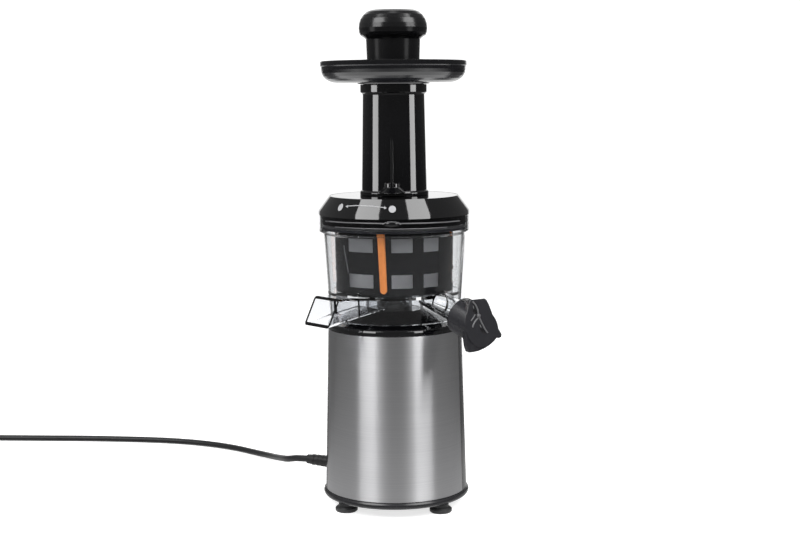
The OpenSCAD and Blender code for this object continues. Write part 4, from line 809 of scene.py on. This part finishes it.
def coil_point(t):
    """The cord's place after t turns: inwards in the lower layer, then outwards in the upper one."""
    inner = COIL_OUT_R - COIL_PITCH * COIL_TURNS
    if t < COIL_TURNS:
        radius = COIL_OUT_R - COIL_PITCH * t
    else:
        radius = inner + COIL_PITCH * max(0.0, t - COIL_TURNS - 0.5)
    height = CORD_REST_Z + COIL_LAYER * min(1.0, max(0.0, (t - COIL_TURNS) * 2))
    x = COIL_CENTRE[0] + radius * math.cos(coil_angle(t))
    y = COIL_CENTRE[1] + radius * math.sin(coil_angle(t))
    return Vector((x, y, height))


def smooth_route(points, steps):
    """A Catmull-Rom curve through the points."""
    route = []
    for i in range(len(points) - 1):
        a, b = points[max(i - 1, 0)], points[i]
        c, d = points[i + 1], points[min(i + 2, len(points) - 1)]
        for k in range(steps):
            t = k / steps
            square = (2 * a - 5 * b + 4 * c - d) * t * t
            cube = (3 * b - a - 3 * c + d) * t ** 3
            route.append(0.5 * (2 * b + (c - a) * t + square + cube))
    return route + [points[-1]]


def cord_route():
    start = Vector(CORD_EXIT)
    free = [start] + [start + Vector(p) for p in CORD_OFFSETS]
    free += [Vector((x, y, CORD_REST_Z)) for x, y in CORD_FLOOR]
    free.append(Vector((COIL_CENTRE[0] + CORD_D, COIL_CENTRE[1] - COIL_OUT_R, CORD_REST_Z)))
    last_t = 2 * COIL_TURNS + 0.25
    coil = [coil_point(i / COIL_STEPS) for i in range(int(last_t * COIL_STEPS) + 1)]
    onward = Vector((math.sin(coil_angle(last_t)), -math.cos(coil_angle(last_t)), 0))
    return smooth_route(free, 2) + coil + [coil[-1] + CORD_D * onward]


def make_cord():
    data = bpy.data.curves.new("mains_cord", "CURVE")
    data.dimensions = "3D"
    data.bevel_depth = CORD_D / 2 * CORD_SHARE * MM
    data.bevel_resolution = 5
    data.use_fill_caps = True
    route = cord_route()
    spline = data.splines.new("POLY")
    spline.points.add(len(route) - 1)
    for point, place in zip(spline.points, route):
        point.co = (*(place * MM), 1)
    spline.use_smooth = True
    cord = add_object("mains_cord", data)
    finish_piece(cord, "cord_black")
    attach(cord, "base")
    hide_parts("cord_run", "cord_coil")


make_cord()

# ---------------------------------------------------------------- studio

BLACK = (0, 0, 0, 1)
FLOOR_HALF = 6.0
FLOOR_GLOW = 0.72
AMBIENT, BACKDROP = 0.42, 1.3


def from_axis(azimuth, elevation):
    """A direction out of the juicer's axis, in degrees from the camera's side, positive to the right."""
    a, e = math.radians(azimuth + CAMERA_SIDE), math.radians(elevation)
    return Vector((math.cos(a) * math.cos(e), math.sin(a) * math.cos(e), math.sin(e)))


def stage_mesh(name, corners, faces, material):
    data = bpy.data.meshes.new(name)
    data.from_pydata(corners, [], faces)
    data.materials.append(material)
    piece = add_object(name, data)
    return piece


def make_floor():
    s = Surface("floor")
    pale = s.mixed(s.spread(s.noise(3.0), 0, 1), (0.80, 0.80, 0.80, 1), (0.82, 0.82, 0.82, 1))
    s.matt_glow(pale, s.math("MULTIPLY", s.seen_directly(), FLOOR_GLOW))
    h = FLOOR_HALF
    stage_mesh("floor", [(-h, -h, 0), (h, -h, 0), (h, h, 0), (-h, h, 0)], [(0, 1, 2, 3)], s.material)


def make_world():
    world = bpy.data.worlds.new("studio")
    world.use_nodes = True
    bpy.context.scene.world = world
    nodes = Nodes(world.node_tree)
    background = world.node_tree.nodes["Background"]
    nodes.feed(background.inputs["Color"], (1, 1, 1, 1))
    strength = nodes.spread(nodes.seen_directly(), AMBIENT, BACKDROP, (0, 1))
    nodes.feed(background.inputs["Strength"], strength)


# Grey flags stand round the camera's side of the set, as in a product studio: only reflections and clear
# plastic show them. The floor's flag begins just outside the juicer's foot.
FLAG_RADIUS = 2.0
FLAG_HALF_TURN = 157.0  # degrees to each side of the camera
FLAG_STEPS = 48
FLAG_BAND, FLAG_BANDS = 6.0, 16  # degrees of height
FLAG_LIFT = 0.002  # off the floor
FLAG_LOW, FLAG_HIGH, FLAG_TOP = 0.03, 0.17, 0.24  # its glow from the floor up
FLAG_LOW_BAND, FLAG_HIGH_BAND = (0.05, 0.35), (0.45, 0.9)  # where the glow rises, as shares of its radius
FLAG_LEFT_GAIN = 1.4
FLAG_LEFT_FADE = (-1.8, -0.2)  # metres to the side
GROUND_INNER = 0.07
GROUND_NEAR, GROUND_FAR = 0.62, 0.2  # its glow
GROUND_FADE = (0.15, 0.4)  # metres from the axis


def flag_material(name):
    s = Surface(name)
    place = s.node("ShaderNodeSeparateXYZ", {0: s.coordinates})
    height = s.math("DIVIDE", place.outputs[2], FLAG_RADIUS)
    low = s.spread(height, FLAG_LOW, FLAG_HIGH, FLAG_LOW_BAND)
    high = s.spread(height, 0.0, FLAG_TOP - FLAG_HIGH, FLAG_HIGH_BAND)
    side = s.spread(place.outputs[0], FLAG_LEFT_GAIN, 1.0, FLAG_LEFT_FADE)
    s.matt_glow(BLACK, s.math("MULTIPLY", s.math("ADD", low, high), side))
    return s.material


def ground_material(name):
    s = Surface(name)
    away = s.node("ShaderNodeVectorMath", {0: s.coordinates}, operation="LENGTH").outputs["Value"]
    s.matt_glow(BLACK, s.spread(away, GROUND_NEAR, GROUND_FAR, GROUND_FADE))
    return s.material


def grid(rows, columns):
    """Faces of a grid whose corners are counted along its columns."""
    return [(i * columns + j, (i + 1) * columns + j, (i + 1) * columns + j + 1, i * columns + j + 1)
            for i in range(rows - 1) for j in range(columns - 1)]


def make_flags():
    azimuths = [FLAG_HALF_TURN * (2 * i / FLAG_STEPS - 1) for i in range(FLAG_STEPS + 1)]
    elevations = [FLAG_BAND * i for i in range(FLAG_BANDS)]
    lift = UP * FLAG_LIFT
    wall = [from_axis(a, e) * FLAG_RADIUS + lift for a in azimuths for e in elevations]
    ground = [from_axis(a, 0) * r + lift for a in azimuths for r in (GROUND_INNER, FLAG_RADIUS)]
    rows = len(azimuths)
    for flag in (
        stage_mesh("flags", wall, grid(rows, FLAG_BANDS), flag_material("flags")),
        stage_mesh("ground_flag", ground, grid(rows, 2), ground_material("ground_flag")),
    ):
        flag.visible_camera = flag.visible_diffuse = flag.visible_shadow = False


# Each lamp has a direction from the camera's side (degrees to the right and up), a distance, a width and
# height, a radiance, and the pieces that it lights alone. The key lamps light what has no lamps of its own.
LAMP_AIM = Vector((0, 0, 0.27))
LID_PIECES = ("lid", "lid_skirt")
OWN_LAMPS = LID_PIECES + ("loading_tray", "pusher")
KEY_SIZE, STRIP_HEIGHT = (0.72, 1.1), 0.3
KEY_GLOW, LID_GLOW, STRIP_GLOW, NECK_GLOW = 5.8, 6.4, 7.0, 1.0
LAMPS = {
    "key_left": ((-50, 40), 1.3, KEY_SIZE, KEY_GLOW, ()),
    "key_right": ((50, 40), 1.3, KEY_SIZE, KEY_GLOW, ()),
    "knob_left": ((-56, 40), 1.3, KEY_SIZE, KEY_GLOW, ("pusher",)),
    "knob_right": ((62, 40), 1.3, KEY_SIZE, KEY_GLOW, ("pusher",)),
    "lid_left": ((-64, 52), 1.3, (0.54, 0.8), LID_GLOW, LID_PIECES),
    "lid_right": ((60.5, 52), 1.3, (0.5, 0.8), LID_GLOW, LID_PIECES),
    "strip_left": ((-70, 2), 1.2, (0.5, STRIP_HEIGHT), STRIP_GLOW, ("feed_tube",)),
    "strip_right": ((71, 2), 1.2, (0.46, STRIP_HEIGHT), STRIP_GLOW, ("feed_tube",)),
    "neck_left": ((-74, 2), 1.2, (0.36, STRIP_HEIGHT), NECK_GLOW, ("pusher",)),
    "neck_right": ((59, 2), 1.2, (0.36, STRIP_HEIGHT), NECK_GLOW, ("pusher",)),
}
TRAY_FILL_PLACE, TRAY_FILL_SIZE, TRAY_FILL_GLOW = (0.06, -0.4, 0.01), (3.2, 1.4), 2.2


def area_lamp(name, matrix, size, radiance, only):
    """A rectangular lamp that lights only some pieces, or all but those that have lamps of their own."""
    data = bpy.data.lights.new(name, "AREA")
    data.shape = "RECTANGLE"
    data.size, data.size_y = size
    data.energy = radiance * math.pi * size[0] * size[1]
    lamp = add_object(name, data)
    lamp.matrix_world = matrix
    group = bpy.data.collections.new(name + "_lights")
    for piece_name in only or OWN_LAMPS:
        group.objects.link(shown(piece_name))
    for linked in group.collection_objects:
        linked.light_linking.link_state = "INCLUDE" if only else "EXCLUDE"
    lamp.light_linking.receiver_collection = group


def make_lamps():
    for name, (angles, distance, size, radiance, only) in LAMPS.items():
        direction = from_axis(*angles)
        turn = direction.to_track_quat("Z", "Y").to_matrix().to_4x4()
        area_lamp(name, Matrix.Translation(LAMP_AIM + direction * distance) @ turn, size, radiance, only)
    facing_up = Matrix.Translation(TRAY_FILL_PLACE) @ Matrix.Rotation(math.pi, 4, "X")
    area_lamp("tray_fill", facing_up, TRAY_FILL_SIZE, TRAY_FILL_GLOW, ("loading_tray",))


make_floor()
make_world()
make_flags()
make_lamps()

bpy.context.scene.view_settings.view_transform = "Standard"
